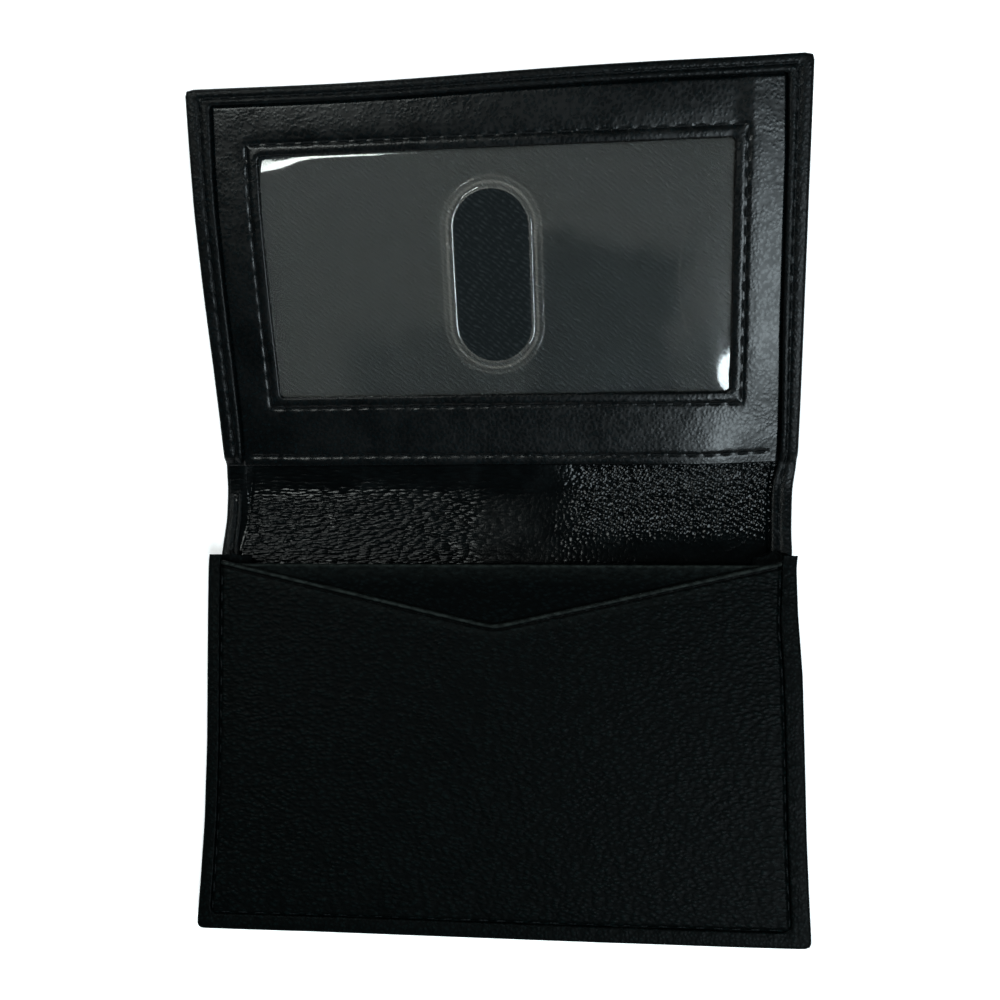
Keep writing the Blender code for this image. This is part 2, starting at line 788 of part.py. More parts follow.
finish_piece(make_pocket_shell(), "pocket", LEATHER)
finish_piece(make_spine_shell(), "spine", LEATHER)
finish_piece(make_flap_shell(), "flap", LEATHER)
make_linings()
make_window_panel()
make_film()
make_front_panel()
make_divider()
make_gusset("gusset_left", -1)
make_gusset("gusset_right", 1)
make_seams()
bpy.context.view_layer.update()
for name in ("lower_fold", "upper_fold"):
    print(name, "axis at", [round(value, 5) for value in bpy.data.objects[name].matrix_world.translation])
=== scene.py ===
"""Looks of the bifold card wallet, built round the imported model.

Each piece is drawn flat, as its leather is cut: x across the wallet, s along the leather from the pocket's
mouth towards the flap, and h up through the plies. on_sheet() lays it along the wallet's side profile, and
on_front() lays a piece of the pocket's front on that front's slope. A piece keeps its flat place in the
attribute "flat", so that grain and weave lie on the leather and move with it.

Lengths are in mm, but for the lamps, the floor and the camera, which are in metres as Blender is.
"""

import math

import bmesh
import bpy
import numpy as np
from mathutils import Euler, Matrix, Vector


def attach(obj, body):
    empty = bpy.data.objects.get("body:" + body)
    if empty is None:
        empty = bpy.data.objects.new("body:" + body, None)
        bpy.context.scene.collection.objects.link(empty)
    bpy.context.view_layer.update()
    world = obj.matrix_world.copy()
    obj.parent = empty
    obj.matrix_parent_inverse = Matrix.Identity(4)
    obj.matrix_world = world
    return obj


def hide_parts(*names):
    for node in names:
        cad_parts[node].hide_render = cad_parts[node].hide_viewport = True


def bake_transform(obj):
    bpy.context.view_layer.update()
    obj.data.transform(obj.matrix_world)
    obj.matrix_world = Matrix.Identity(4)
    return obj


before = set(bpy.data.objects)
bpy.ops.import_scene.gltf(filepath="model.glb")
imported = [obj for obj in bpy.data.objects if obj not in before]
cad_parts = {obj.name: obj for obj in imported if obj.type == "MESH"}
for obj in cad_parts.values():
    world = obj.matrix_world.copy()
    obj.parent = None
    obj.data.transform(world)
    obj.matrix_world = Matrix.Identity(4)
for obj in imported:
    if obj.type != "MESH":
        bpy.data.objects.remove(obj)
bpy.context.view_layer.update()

MM = 0.001
TINY = 1e-9

# Sizes that part.py also states, since it can't be read here
WIDTH = 104
POCKET_LENGTH = 65.7
SPINE_LENGTH = 18.8
FLAP_LENGTH = 65.4
EDGE_ROUND = 0.6
FOLD_TO_HEM = 3.8
FOLD_ARC = 8
RISE_AT_FOLD = math.radians(27)
RISE_AT_TOP = math.radians(19)
FRONT_HEIGHT_AT_MOUTH = 7.6
FRONT_HEIGHT_AT_BOTTOM = 3.65
LOWER_FOLD = 1
PIVOT_HEIGHT = 2
SHELL = 0.7
TURNED = 0.5
SPINE_BAND_TOP = 1.9
FLAP_BAND_TOP = 2.85
BAND_WIDTH = 4.3
RIM_WIDTH = 2.1
LINING_LOW = 0.85
LINING_TOP = 1.25
TWILL_TOP = 1.1
FILM_LOW = 1.25
FILM_TOP = 1.45
PANEL_LOW = 1.6
PANEL_TOP = 2.2
GUSSET_LOW = 2.05
GUSSET_THICKNESS = 0.42
FRONT = 0.6
DIVIDER = 0.5
DIVIDER_TOP = -0.75
LEG_TOP_DROP = 1.4
PLY_HALF = 51.15
LINING_END = 24.8
TWILL_START = 25.1
FLAP_PLY_END = 83.35
WINDOW_HALF = 40.1
WINDOW_LOW = 30.9
WINDOW_HIGH = 72.5
WINDOW_RADIUS = 0.8
SEAM_INSET = 2
FILM_MARGIN = 1.5
THUMB_X = -0.4
THUMB_S = 51.4
THUMB_WIDTH = 13
THUMB_LENGTH = 29.2
FRONT_END_DROP = 0.8
V_DEPTH = 12
DIVIDER_DROP = 1.6
PLEAT_DEPTH_AT_MOUTH = 7
PLEAT_DEPTH_AT_BOTTOM = 3.5
EDGE_SEAM_INSET = 2.5
HEM_SEAM_INSET = 1.15
HEM_OVERHANG = 1
POCKET_SEAM_INSET = 2.45
POCKET_SEAM_DROP = 3.2
STITCH_PITCH = 3
STITCH_RADIUS = 0.19
STITCH_SHARE = 0.72
STITCH_DIP = 0.16
WINDOW_STITCHES_UP = 15
WINDOW_STITCHES_ACROSS = 27
HEM_STITCHES = 31

# The turned edges as the photograph shows them: narrower at the flap's tip, and uneven along the sides
SEEN_CORNER_RADIUS = 0.9
TOP_BAND_WIDTH = 2.75
TOP_SEAM_INSET = 1.55
SIDE_SEAM_INSET = 2.25
BAND_PLACES = (-8, 0, 3, 14, 18, 24, 40, 70, 84)
LEFT_BAND_WIDTHS = (4.3, 3.6, 3, 3, 3.5, 3.8, 3.9, 4, 4.4)
RIGHT_BAND_WIDTHS = (4.3, 3.9, 3.7, 3.7, 3.2, 3.1, 3.5, 3.6, 4.1)

# The pocket's bound edge as the photograph shows it
LEFT_RIM_WIDTH = 2.3
RIGHT_RIM_WIDTH = 3.1
BOTTOM_RIM_WIDTH = 2.7
RIM_WALL = 1.72
RIM_ROUND = 0.5

# How the edges and grooves are made, how wide the turned edge is by which its seam has its full inset, and
# where along the wallet the lining is seen
SHELL_INSET = 6
FULL_BAND_WIDTH = 3.6
TURNED_ROUND = 0.24
RIM_INNER_ROUND = 0.22
PLY_ROUND = 0.36
BAND_GROOVE = 0.42
SEAM_GROOVE = 0.36
RIM_GROOVE_DEPTH = 0.36
SEEN_LINING = (-3, 19)

# Where the looks are divided between the moving bodies, how far to each side of a fold dress() reckons the
# ends of a bend that it doesn't make, and how far the reliefs keep still to each side of a split
SHELL_SPLIT = 8
LINING_SPLIT = 7
BLEND_REACH = 2.5
SPLIT_REST = 0.9

# The film's bend at its upper left corner, and the lean of the frame's right side and of its low strip's end
WEDGE_TURN = math.atan2(2.5, 9)
WEDGE_SLOPE = math.tan(math.radians(10))
STRIP_LEAN = math.tan(math.radians(5.5))
LOW_STRIP_LEAN = math.tan(math.radians(6.5))

HALF_WIDTH = WIDTH / 2
FLAP_TOP = SPINE_LENGTH + FLAP_LENGTH
UPPER_FOLD = SPINE_LENGTH - FOLD_TO_HEM
FLAT_SPINE = UPPER_FOLD - FOLD_ARC / 2
FRONT_SLOPE = math.atan2(FRONT_HEIGHT_AT_MOUTH - FRONT_HEIGHT_AT_BOTTOM, POCKET_LENGTH)
SEAM_X = WINDOW_HALF + SEAM_INSET
SEAM_LOW = WINDOW_LOW - SEAM_INSET
SEAM_HIGH = WINDOW_HIGH + SEAM_INSET
HEM_SEAM = SPINE_LENGTH + HEM_SEAM_INSET
HEM_EDGE = SPINE_LENGTH - HEM_OVERHANG
HEM_END = HALF_WIDTH - BAND_WIDTH - 0.6
TOP_BAND_INNER = FLAP_TOP - TOP_BAND_WIDTH


# Placing


def arc_end(y, z, slope_from, slope_to, length):
    """Where an arc of this length ends that starts at y, z and turns evenly between two slopes."""
    middle = (slope_from + slope_to) / 2
    chord = length * np.sinc((slope_to - slope_from) / 2 / np.pi)
    return y + chord * np.cos(middle), z + chord * np.sin(middle)


def profile(s):
    """The outer leather's line at s: its y, its z and its slope."""
    flat = np.minimum(s, FLAT_SPINE)
    along_fold = np.clip(s - FLAT_SPINE, 0, FOLD_ARC)
    fold_slope = RISE_AT_FOLD * along_fold / FOLD_ARC
    y, z = arc_end(flat, 0 * flat, 0, fold_slope, along_fold)
    along_flap = np.maximum(s - FLAT_SPINE - FOLD_ARC, 0)
    share = along_flap / (FLAP_TOP - FLAT_SPINE - FOLD_ARC)
    flap_slope = RISE_AT_FOLD + (RISE_AT_TOP - RISE_AT_FOLD) * share
    y, z = arc_end(y, z, RISE_AT_FOLD, flap_slope, along_flap)
    return y, z, np.where(along_flap > 0, flap_slope, fold_slope)


MIDDLE_Y = (float(profile(np.array(FLAP_TOP))[0]) - POCKET_LENGTH) / 2


def smooth_table(places, values, reach):
    """Close places and the values there, blurred over a reach."""
    close = np.linspace(places[0], places[-1], 900)
    step = close[1] - close[0]
    half = math.ceil(3 * reach / step)
    weights = np.exp(-0.5 * (np.arange(-half, half + 1) * step / reach) ** 2)
    rough = np.pad(np.interp(close, places, values), half, mode="edge")
    return close, np.convolve(rough, weights / weights.sum(), "valid")


# How far the leather's edges stray from straight lines: the sides by their place along the wallet, and the
# two ends by their place across it
SIDE_PLACES = (-65.7, -57, -47, -33, -20, -10, -1.5, 0.7, 2.5, 4.5, 7, 12, 14, 16, 18, 27, 37, 48, 64, 84.2)
LEFT_STRAYS = (-1.1, -0.6, -0.16, -0.09, -0.37, -0.56, -0.67, -0.49, -0.29, -0.09, 0.18, 0.14, 0.11, 0.02)
LEFT_STRAYS += (0.18, 0.3, 0.28, 0.06, -0.15, 0.15)
RIGHT_STRAYS = (0.95, 0.68, 0.45, 0.37, 0.25, -0.33, -0.47, -0.05, -0.13, -0.16, -0.07, 0.18, 0.4, 0.72)
RIGHT_STRAYS += (0.87, 0.79, 0.66, 0.53, 0.43, 0.48)
END_PLACES = (-51, -38, -25, -11.5, 2, 15, 28, 42, 51)
TOP_STRAYS = (-0.5, -0.6, -0.66, -0.4, 0, 0.31, 0.46, 0.48, 0.62)
BOTTOM_STRAYS = (-0.25, -0.12, 0.05, 0.1, 0.13, 0.2, 0.33, 0.42, 0.6)
LEFT_STRAY = smooth_table(SIDE_PLACES, LEFT_STRAYS, 0.9)
RIGHT_STRAY = smooth_table(SIDE_PLACES, RIGHT_STRAYS, 0.9)
TOP_STRAY = smooth_table(END_PLACES, TOP_STRAYS, 4)
BOTTOM_STRAY = smooth_table(END_PLACES, BOTTOM_STRAYS, 4)

# Height of the lining's swell at the left of the spine, by the place along it: it leans back to the mouth
SWELL_PLACES = (-3, 0, 3, 5, 7, 9, 11, 12, 13, 14, 15, 16, 17, 18, 20)
SWELL_HEIGHTS = (0, 0, -0.115, -0.134, -0.094, 0.005, 0.16, 0.25, 0.3, 0.3, 0.28, 0.24, 0.15, 0, -0.1)
LINING_SWELL = smooth_table(SWELL_PLACES, SWELL_HEIGHTS, 0.5)


def stray(x, s):
    """A flat place, moved as the real leather's edges stray from straight lines."""
    left = np.interp(s, *LEFT_STRAY)
    right = np.interp(s, *RIGHT_STRAY)
    up = ease(s, SEAM_HIGH + 0.6, FLAP_TOP - 2) * np.interp(x, *TOP_STRAY)
    down = ease(s, 13 - POCKET_LENGTH, 3 - POCKET_LENGTH) * np.interp(x, *BOTTOM_STRAY)
    return x + left + (right - left) * (0.5 + x / WIDTH), s + up + down


def on_sheet(x, s, h):
    """The place in the wallet of points of the flat pattern."""
    x, s = stray(x, s)
    x, s, h = np.broadcast_arrays(x, s, h)
    y, z, slope = profile(s)
    return np.stack([x, y - h * np.sin(slope) - MIDDLE_Y, z + h * np.cos(slope)], -1)


def on_front(x, u, h):
    """The place of points of the pocket's front: u up its slope from the bottom edge, h above its face."""
    x, s = stray(x, u - POCKET_LENGTH)
    x, u, h = np.broadcast_arrays(x, s + POCKET_LENGTH, h)
    y = -POCKET_LENGTH + u * math.cos(FRONT_SLOPE) - h * math.sin(FRONT_SLOPE)
    z = FRONT_HEIGHT_AT_BOTTOM + u * math.sin(FRONT_SLOPE) + h * math.cos(FRONT_SLOPE)
    return np.stack([x, y - MIDDLE_Y, z], -1)


def up_the_front(y):
    """How far up the front's slope a place lies that is at y, counted from the mouth."""
    return (y + POCKET_LENGTH) / math.cos(FRONT_SLOPE)


# Shapes of reliefs


def noise(u, v, seed):
    """Smooth noise from -1 to 1, with a grain of one unit."""
    table = np.random.default_rng(seed).uniform(-1, 1, (64, 64))
    cell_u = np.floor(u).astype(int)
    cell_v = np.floor(v).astype(int)
    part_u, part_v = ease(u - cell_u, 0, 1), ease(v - cell_v, 0, 1)
    rows = []
    for row in (cell_v % 64, (cell_v + 1) % 64):
        rows.append(table[row, cell_u % 64] * (1 - part_u) + table[row, (cell_u + 1) % 64] * part_u)
    return rows[0] * (1 - part_v) + rows[1] * part_v


def ease(value, low, high):
    """0 below low, 1 above high, smooth between; low may be the larger."""
    share = np.clip((value - low) / (high - low), 0, 1)
    return share * share * (3 - 2 * share)


def hump(value, middle, reach):
    return np.exp(-(((value - middle) / reach) ** 2))


def rounded_drop(distance, radius):
    """How far a rounded edge lies below its face, at a distance inside the edge."""
    inside = np.clip(radius - distance, 0, radius)
    return radius - np.sqrt(np.maximum(radius * radius - inside * inside, 0))


def quarter_round(radius, count):
    """Steps through a rounded edge: how far each has come from its start, and how far it is from its end."""
    angles = np.linspace(0, 1, count) * math.pi / 2
    return list(zip(radius * (1 - np.cos(angles)), radius * (1 - np.sin(angles))))


def stitch_wave(along, pitch):
    """1 in the middle of each stitch, 0 at the bridge of leather between two."""
    return (0.5 - 0.5 * np.cos(2 * np.pi * along / pitch)) ** 0.6


def box_distance(x, s, half, low, high, radius=0.0):
    """Signed distance from a rectangle with rounded corners, positive outside."""
    across = np.abs(x) - half + radius
    along = np.abs(s - (low + high) / 2) - (high - low) / 2 + radius
    outside = np.hypot(np.maximum(across, 0), np.maximum(along, 0))
    return outside + np.minimum(np.maximum(across, along), 0) - radius


def lines(keys, step, fine=(), fine_step=0.15, reach=0.8):
    """Grid lines through all keys, about a step apart and closer near each fine place."""
    keys = sorted(keys)
    found = [keys[0]]
    for start, end in zip(keys, keys[1:]):
        place = np.linspace(start, end, 600)
        size = np.full(600, float(step))
        for spot in fine:
            gap = np.maximum(np.abs(place - spot) - reach, 0)
            size = np.minimum(size, fine_step + gap * 0.5)
        density = 1 / size
        total = np.concatenate([[0], np.cumsum((density[1:] + density[:-1]) / 2 * np.diff(place))])
        count = int(total[-1] + TINY) + 1
        found.extend(np.interp(np.linspace(0, total[-1], count + 1), total, place)[1:])
    return np.array(found)


# Meshes


def spread(place, x, s, h):
    """Points laid in the wallet by a placing function, and their flat places."""
    x, s, h = np.broadcast_arrays(x, s, h)
    return place(x, s, h).reshape(-1, 3), np.stack([x, s, h], -1).reshape(-1, 3)


def stand(name, data):
    """An object with this data, in the scene."""
    obj = bpy.data.objects.new(name, data)
    bpy.context.scene.collection.objects.link(obj)
    return obj


def make_mesh(name, parts, faces, smooth_angle=40):
    """A mesh object from parts of points with flat places, with doubles welded and normals outward."""
    points, flat = (np.concatenate(column) for column in zip(*parts))
    mesh = bpy.data.meshes.new(name)
    mesh.from_pydata((points * MM).tolist(), [], faces)
    attribute = mesh.attributes.new("flat", "FLOAT_VECTOR", "POINT")
    attribute.data.foreach_set("vector", np.ascontiguousarray(flat, np.float32).ravel())
    shape = bmesh.new()
    shape.from_mesh(mesh)
    bmesh.ops.remove_doubles(shape, verts=shape.verts, dist=MM / 1000)
    bmesh.ops.dissolve_degenerate(shape, edges=shape.edges, dist=MM / 2000)
    bmesh.ops.delete(shape, geom=[v for v in shape.verts if not v.link_faces], context="VERTS")
    open_edges = [edge for edge in shape.edges if len(edge.link_faces) == 1]
    if open_edges:
        bmesh.ops.holes_fill(shape, edges=open_edges, sides=0)
    bmesh.ops.recalc_face_normals(shape, faces=shape.faces)
    shape.to_mesh(mesh)
    shape.free()
    mesh.shade_smooth()
    mesh.set_sharp_from_angle(angle=math.radians(smooth_angle))
    return stand(name, mesh)


def flat_places(obj):
    """The flat places of a mesh's points."""
    places = np.empty(len(obj.data.vertices) * 3, np.float32)
    obj.data.attributes["flat"].data.foreach_get("vector", places)
    return places.reshape(-1, 3)


def add_values(obj, name, values):
    """An attribute with one number for each point."""
    attribute = obj.data.attributes.new(name, "FLOAT", "POINT")
    attribute.data.foreach_set("value", values.astype(np.float32))


def slab(name, place, x, s, top, low, keep=None, smooth_angle=40, joined=False):
    """A closed ply between two heights over a grid; keep says which of the grid's cells are leather.

    A joined grid's last row lies on its first, so no edge is made there.
    """
    rows, columns = x.shape
    if keep is None:
        keep = np.ones((rows - 1, columns - 1), bool)
    index = np.arange(rows * columns).reshape(rows, columns)
    count = rows * columns
    a, b = index[:-1, :-1], index[:-1, 1:]
    c, d = index[1:, 1:], index[1:, :-1]
    quads = [
        np.stack([a[keep], b[keep], c[keep], d[keep]], 1),
        np.stack([d[keep], c[keep], b[keep], a[keep]], 1) + count,
    ]
    around = np.pad(keep, 1)
    if joined:
        around[0] = around[-2]
        around[-1] = around[1]
    for beside, start, end in (
        (around[:-2, 1:-1], a, b),
        (around[1:-1, 2:], b, c),
        (around[2:, 1:-1], c, d),
        (around[1:-1, :-2], d, a),
    ):
        edge = keep & ~beside
        quads.append(np.stack([start[edge] + count, end[edge] + count, end[edge], start[edge]], 1))
    parts = [spread(place, x, s, top), spread(place, x, s, low)]
    return make_mesh(name, parts, np.concatenate(quads).tolist(), smooth_angle)


def corner_ray(angle, size, radius):
    """Distance from a square's inner corner to its rounded outline, angle from one side's direction."""
    radius = min(radius, size)
    cos, sin = math.cos(angle), math.sin(angle)
    straight = size - radius
    if size <= 0:
        return 0.0
    if size * sin <= straight * cos:
        return size / cos
    if size * cos <= straight * sin:
        return size / sin
    along = straight * (cos + sin)
    return along + math.sqrt(max(along * along - 2 * straight * straight + radius * radius, 0))


def edge_path(half, length, inset, distances, radii, step, fan=10):
    """Points at given distances inside a U-shaped outline, from its open left end round to its right end.

    The outline is 2 * half wide and runs from t = 0 at its open end to its closed end at length. Returns the
    points' x and t, the lines of t along a side and of x along the closed end.
    """
    side = np.linspace(0, length - inset, max(2, round((length - inset) / step)) + 1)
    end = np.linspace(inset - half, half - inset, max(2, round(2 * (half - inset) / step)) + 1)
    turns = [math.pi / 2 * k / fan for k in range(1, fan)]
    corner = half - inset
    rays = [(-corner, t, -1.0, 0.0, None) for t in side]
    rays += [(-corner, length - inset, -math.cos(turn), math.sin(turn), turn) for turn in turns]
    rays += [(x, length - inset, 0.0, 1.0, None) for x in end]
    rays += [(corner, length - inset, math.sin(turn), math.cos(turn), turn) for turn in turns]
    rays += [(corner, t, 1.0, 0.0, None) for t in side[::-1]]
    x = np.empty((len(rays), len(distances)))
    t = np.empty_like(x)
    for row, (x0, t0, nx, nt, turn) in enumerate(rays):
        for column, (distance, radius) in enumerate(zip(distances, radii)):
            size = inset - distance
            reach = size if turn is None else corner_ray(turn, size, radius)
            x[row, column] = x0 + nx * reach
            t[row, column] = t0 + nt * reach
    return x, t, side, end


def strip_faces(rows, columns, closed):
    """Quads of a strip of sections, each section closed on itself or open."""
    index = np.arange(rows * columns).reshape(rows, columns)
    after = np.roll(index, -1, axis=1)
    if not closed:
        index, after = index[:, :-1], after[:, :-1]
    return np.stack([index[:-1], after[:-1], after[1:], index[1:]], -1).reshape(-1, 4)


def on_path(x, t, pitch):
    """Lengths along a path of points, the pitch that fits whole stitches into it, and their number."""
    along = np.concatenate([[0], np.cumsum(np.hypot(np.diff(x), np.diff(t)))])
    count = max(1, round(along[-1] / pitch))
    return along, along[-1] / count, count


def stitches(name, runs):
    """Separate stitches, each a share of its pitch long, along runs.

    A run holds arrays along a path, which are the length along it, x, s and the leather's height, and then a
    placing function, the pitch, the number of stitches, and 1 above the leather or -1 below it.
    """
    samples = np.linspace(-1, 1, 9)
    turns = np.linspace(0, 2 * np.pi, 8, endpoint=False)
    rows, ring = len(samples), len(turns)
    parts, faces = [], []
    chance = np.random.default_rng(11)
    total = 0
    for along, path_x, path_s, height, place, pitch, count, side in runs:
        for k in range(count):
            at = (k + 0.5) * pitch + samples * pitch * STITCH_SHARE / 2
            x, s, h = (np.interp(at, along, values) for values in (path_x, path_s, height))
            dx, ds = x[-1] - x[0], s[-1] - s[0]
            size = math.hypot(dx, ds)
            across_x, across_s = -ds / size, dx / size
            slant = samples * chance.uniform(-0.02, 0.1)
            x = x + across_x * slant
            s = s + across_s * slant
            thick = STITCH_RADIUS * np.sqrt(np.maximum(1 - np.abs(samples) ** 4, 0.05))
            rise = side * (thick * 0.35 - STITCH_DIP * samples**4)
            for ring_x, ring_s, ring_h, wide in zip(x, s, h + rise, thick):
                out = wide * np.cos(turns)
                up = ring_h + wide * 0.8 * np.sin(turns)
                parts.append(spread(place, ring_x + across_x * out, ring_s + across_s * out, up))
            faces += (strip_faces(rows, ring, True) + total).tolist()
            last = total + (rows - 1) * ring
            faces += [list(range(start, start + ring)) for start in (total, last)]
            total += rows * ring
    return make_mesh(name, parts, faces, 60)


# Reliefs of the pieces


def band_relief(distance, along, pitch):
    """The turned edge's top: a sunk line of stitches between two padded strips."""
    relief = -(0.05 + 0.15 * stitch_wave(along, pitch)) * hump(distance, EDGE_SEAM_INSET, BAND_GROOVE)
    relief += 0.04 * hump(distance, 1.25, 0.6)
    relief += 0.045 * hump(distance, 3.45, 0.4)
    return relief - 0.1 * ease(distance, BAND_WIDTH - 0.4, BAND_WIDTH)


def band_width(x, s):
    """Width of the turned edge at a place along either side."""
    left = np.interp(s, BAND_PLACES, LEFT_BAND_WIDTHS)
    right = np.interp(s, BAND_PLACES, RIGHT_BAND_WIDTHS)
    return np.where(x < 0, left, right)


def narrow_band(x, s):
    """A turned edge's points, moved from even widths to those that the photograph shows."""
    gap = HALF_WIDTH - np.abs(x)
    width = band_width(x, s)
    seam = np.where(s > 0, SIDE_SEAM_INSET, EDGE_SEAM_INSET) * np.clip(width / FULL_BAND_WIDTH, 0.8, 1)
    narrowed = np.where(
        gap < EDGE_SEAM_INSET,
        EDGE_ROUND + (gap - EDGE_ROUND) * (seam - EDGE_ROUND) / (EDGE_SEAM_INSET - EDGE_ROUND),
        seam + (gap - EDGE_SEAM_INSET) * (width - seam) / (BAND_WIDTH - EDGE_SEAM_INSET),
    )
    beyond = width + (gap - BAND_WIDTH) * (SHELL_INSET - width) / (SHELL_INSET - BAND_WIDTH)
    narrowed = np.where(gap > BAND_WIDTH, beyond, narrowed)
    narrowed = np.where((gap < EDGE_ROUND) | (gap > SHELL_INSET), gap, narrowed)
    gap = FLAP_TOP - s
    even = (0, EDGE_ROUND, EDGE_SEAM_INSET, BAND_WIDTH, SHELL_INSET)
    seen = (0, EDGE_ROUND, TOP_SEAM_INSET, TOP_BAND_WIDTH, SHELL_INSET)
    s = np.where(gap < SHELL_INSET, FLAP_TOP - np.interp(gap, even, seen), s)
    return np.sign(x) * (HALF_WIDTH - narrowed), s


def band_ripple(x, s):
    """Soft creases across the turned edges of the spine, where the leather has been folded."""
    near_fold = ease(s, -2, 2) * ease(s, 24, 18)
    wave = np.sin(2 * np.pi * (s / 1.15 + 0.6 * noise(x / 2, s / 3, 5)))
    return near_fold * ease(x, -60, 30) * 0.07 * wave * (0.6 + 0.4 * noise(x / 4, s / 5, 6))


def flat_at(s, split):
    """s with a short stop at a split, so that both pieces meet there with the same slope."""
    offset = s - split
    return split + np.sign(offset) * np.maximum(np.abs(offset) - SPLIT_REST, 0)


def lining_relief(x, s):
    """The spine's glazed lining: creases across it, more at the left, low beside the turned edges."""
    s = flat_at(s, LINING_SPLIT)
    bend = 0.55 * noise(x / 8, s / 5, 1) + 0.3 * noise(x / 3.1, s / 2.2, 2) + 0.22 * noise(x / 1.1, s / 0.9, 8)
    crease = 1 - 2 * np.abs(np.sin(np.pi * (s / 0.74 + bend + 0.006 * x))) ** 1.3
    patch = 0.6 + 0.4 * noise(x / 1.9, s / 0.74, 3)
    pebble = noise(x / 0.62, s / 0.6, 4) + 0.6 * noise(x / 0.38, s / 0.36, 22)
    relief = 0.3 - 0.009 * ease(x, 12, -22) * crease * patch
    relief += (0.004 + 0.012 * ease(x, 6, 26)) * pebble
    relief += 0.03 * noise(x / 7, s / 4, 7)
    relief -= 0.5 * ease(x, 47.3, 48)
    in_channel = np.maximum(-48.1 + 1.9 * s / 14.8 - x, 0)
    relief -= 0.35 * ease(in_channel, 0, 0.8) - 0.22 * np.minimum(in_channel, 2.6)
    shown = ease(s, -2, 0.5) * ease(s, 20, 17)
    return shown * relief + ease(x, 24, -4) * np.interp(s, *LINING_SWELL)


def window_seam_along(x, s):
    """How many stitches along the window seam's side a point is that lies nearest to that side."""
    over_x = np.abs(x) - SEAM_X
    over_s = np.abs(s - (SEAM_LOW + SEAM_HIGH) / 2) - (SEAM_HIGH - SEAM_LOW) / 2
    pitch_s = (SEAM_HIGH - SEAM_LOW) / WINDOW_STITCHES_UP
    pitch_x = 2 * SEAM_X / WINDOW_STITCHES_ACROSS
    return np.where(over_x > over_s, (s - SEAM_LOW) / pitch_s, (x + SEAM_X) / pitch_x)


def panel_relief(x, s):
    """The window's leather frame: a turned and padded window edge, its seam, and the hem with its own seam."""
    wobble = 0.1 * noise(x / 7, s / 7, 31)
    outside = box_distance(x, s, WINDOW_HALF, WINDOW_LOW, WINDOW_HIGH, WINDOW_RADIUS)
    seam = np.abs(box_distance(x, s, SEAM_X, SEAM_LOW, SEAM_HIGH)) + wobble
    relief = -(0.06 + 0.15 * stitch_wave(window_seam_along(x, s), 1)) * hump(seam, 0, SEAM_GROOVE)
    relief += 0.1 * hump(outside, 0.95, 0.6)
    relief -= rounded_drop(outside, 0.3)
    relief += 0.08 * ease(outside, 2.4, 4.5)
    depth = 0.07 + 0.17 * stitch_wave((x + HEM_END) / (2 * HEM_END / HEM_STITCHES), 1)
    in_hem = ease(np.abs(x), HEM_END + 0.3, HEM_END - 0.3)
    relief -= in_hem * depth * hump(s + wobble, HEM_SEAM, SEAM_GROOVE)
    relief += 0.07 * ease(x, 34, 20) * hump(s, HEM_EDGE + 1.1, 0.5)
    relief -= rounded_drop(s - HEM_EDGE, 0.5 - 0.22 * ease(x, 22, 36))
    beside = HALF_WIDTH - band_width(x, s) - np.abs(x)
    relief -= 0.2 * ease(np.minimum(beside, TOP_BAND_INNER - s), 0.5, 0.05)
    relief += 0.05 * noise(x / 11, s / 9, 41)
    relief += 0.016 * noise(x / 2.6, s / 2.2, 42)
    relief += 0.01 * noise(x / 0.9, s / 0.75, 43)
    return relief + side_lean(x, s)


def side_lean(x, s):
    """The frame's right side leans outward, and the low strip's right end with it."""
    lean = 0.24 * ease(x, 39.5, 43) - STRIP_LEAN * np.maximum(x - 42.8, 0)
    bend = np.clip(x - 32, 0, 11)
    low_lean = 0.65 * ease(x, 0, 32) - LOW_STRIP_LEAN * (bend * bend / 22 + np.maximum(x - 43, 0))
    low = ease(s, 36, 24)
    return lean * (1 - low) + low_lean * low


def hem_lift(x, s):
    """The hem stands a little off the lining, as the mouth of the card slot behind the film."""
    return 0.5 * ease(s, 27, SPINE_LENGTH) * ease(np.abs(x), 49, 36)


def frame_top(x, s):
    """Height of the window frame's upper face, on which its stitches lie too."""
    return PANEL_TOP + panel_relief(x, s) + hem_lift(x, s)


def film_relief(x, s):
    """Soft waves of the clear film, with its bent-down upper left corner and a dip at its lower right."""
    relief = 0.04 * noise(x / 17, s / 13, 51) + 0.012 * noise(x / 7, s / 8, 52)
    inside = -box_distance(x, s, WINDOW_HALF, WINDOW_LOW, WINDOW_HIGH)
    relief += 0.12 * ease(inside, -1, 5)
    above = (s - 69.6) * math.cos(WEDGE_TURN) - (x + 40) * math.sin(WEDGE_TURN)
    above = np.maximum(above, s - 72.05)
    relief -= WEDGE_SLOPE * np.maximum(above, 0) * ease(x, -9, -13)
    return relief - 0.055 * np.maximum(x - 38.2, 0) ** 2 * hump(s, 33.7, 1.9)


def rim_width(x, u):
    """Width of the pocket's bound edge at a place along either side."""
    right = RIGHT_RIM_WIDTH - 0.6 * ease(u, POCKET_LENGTH - 14, POCKET_LENGTH - 2)
    return np.where(x < 0, LEFT_RIM_WIDTH, right)


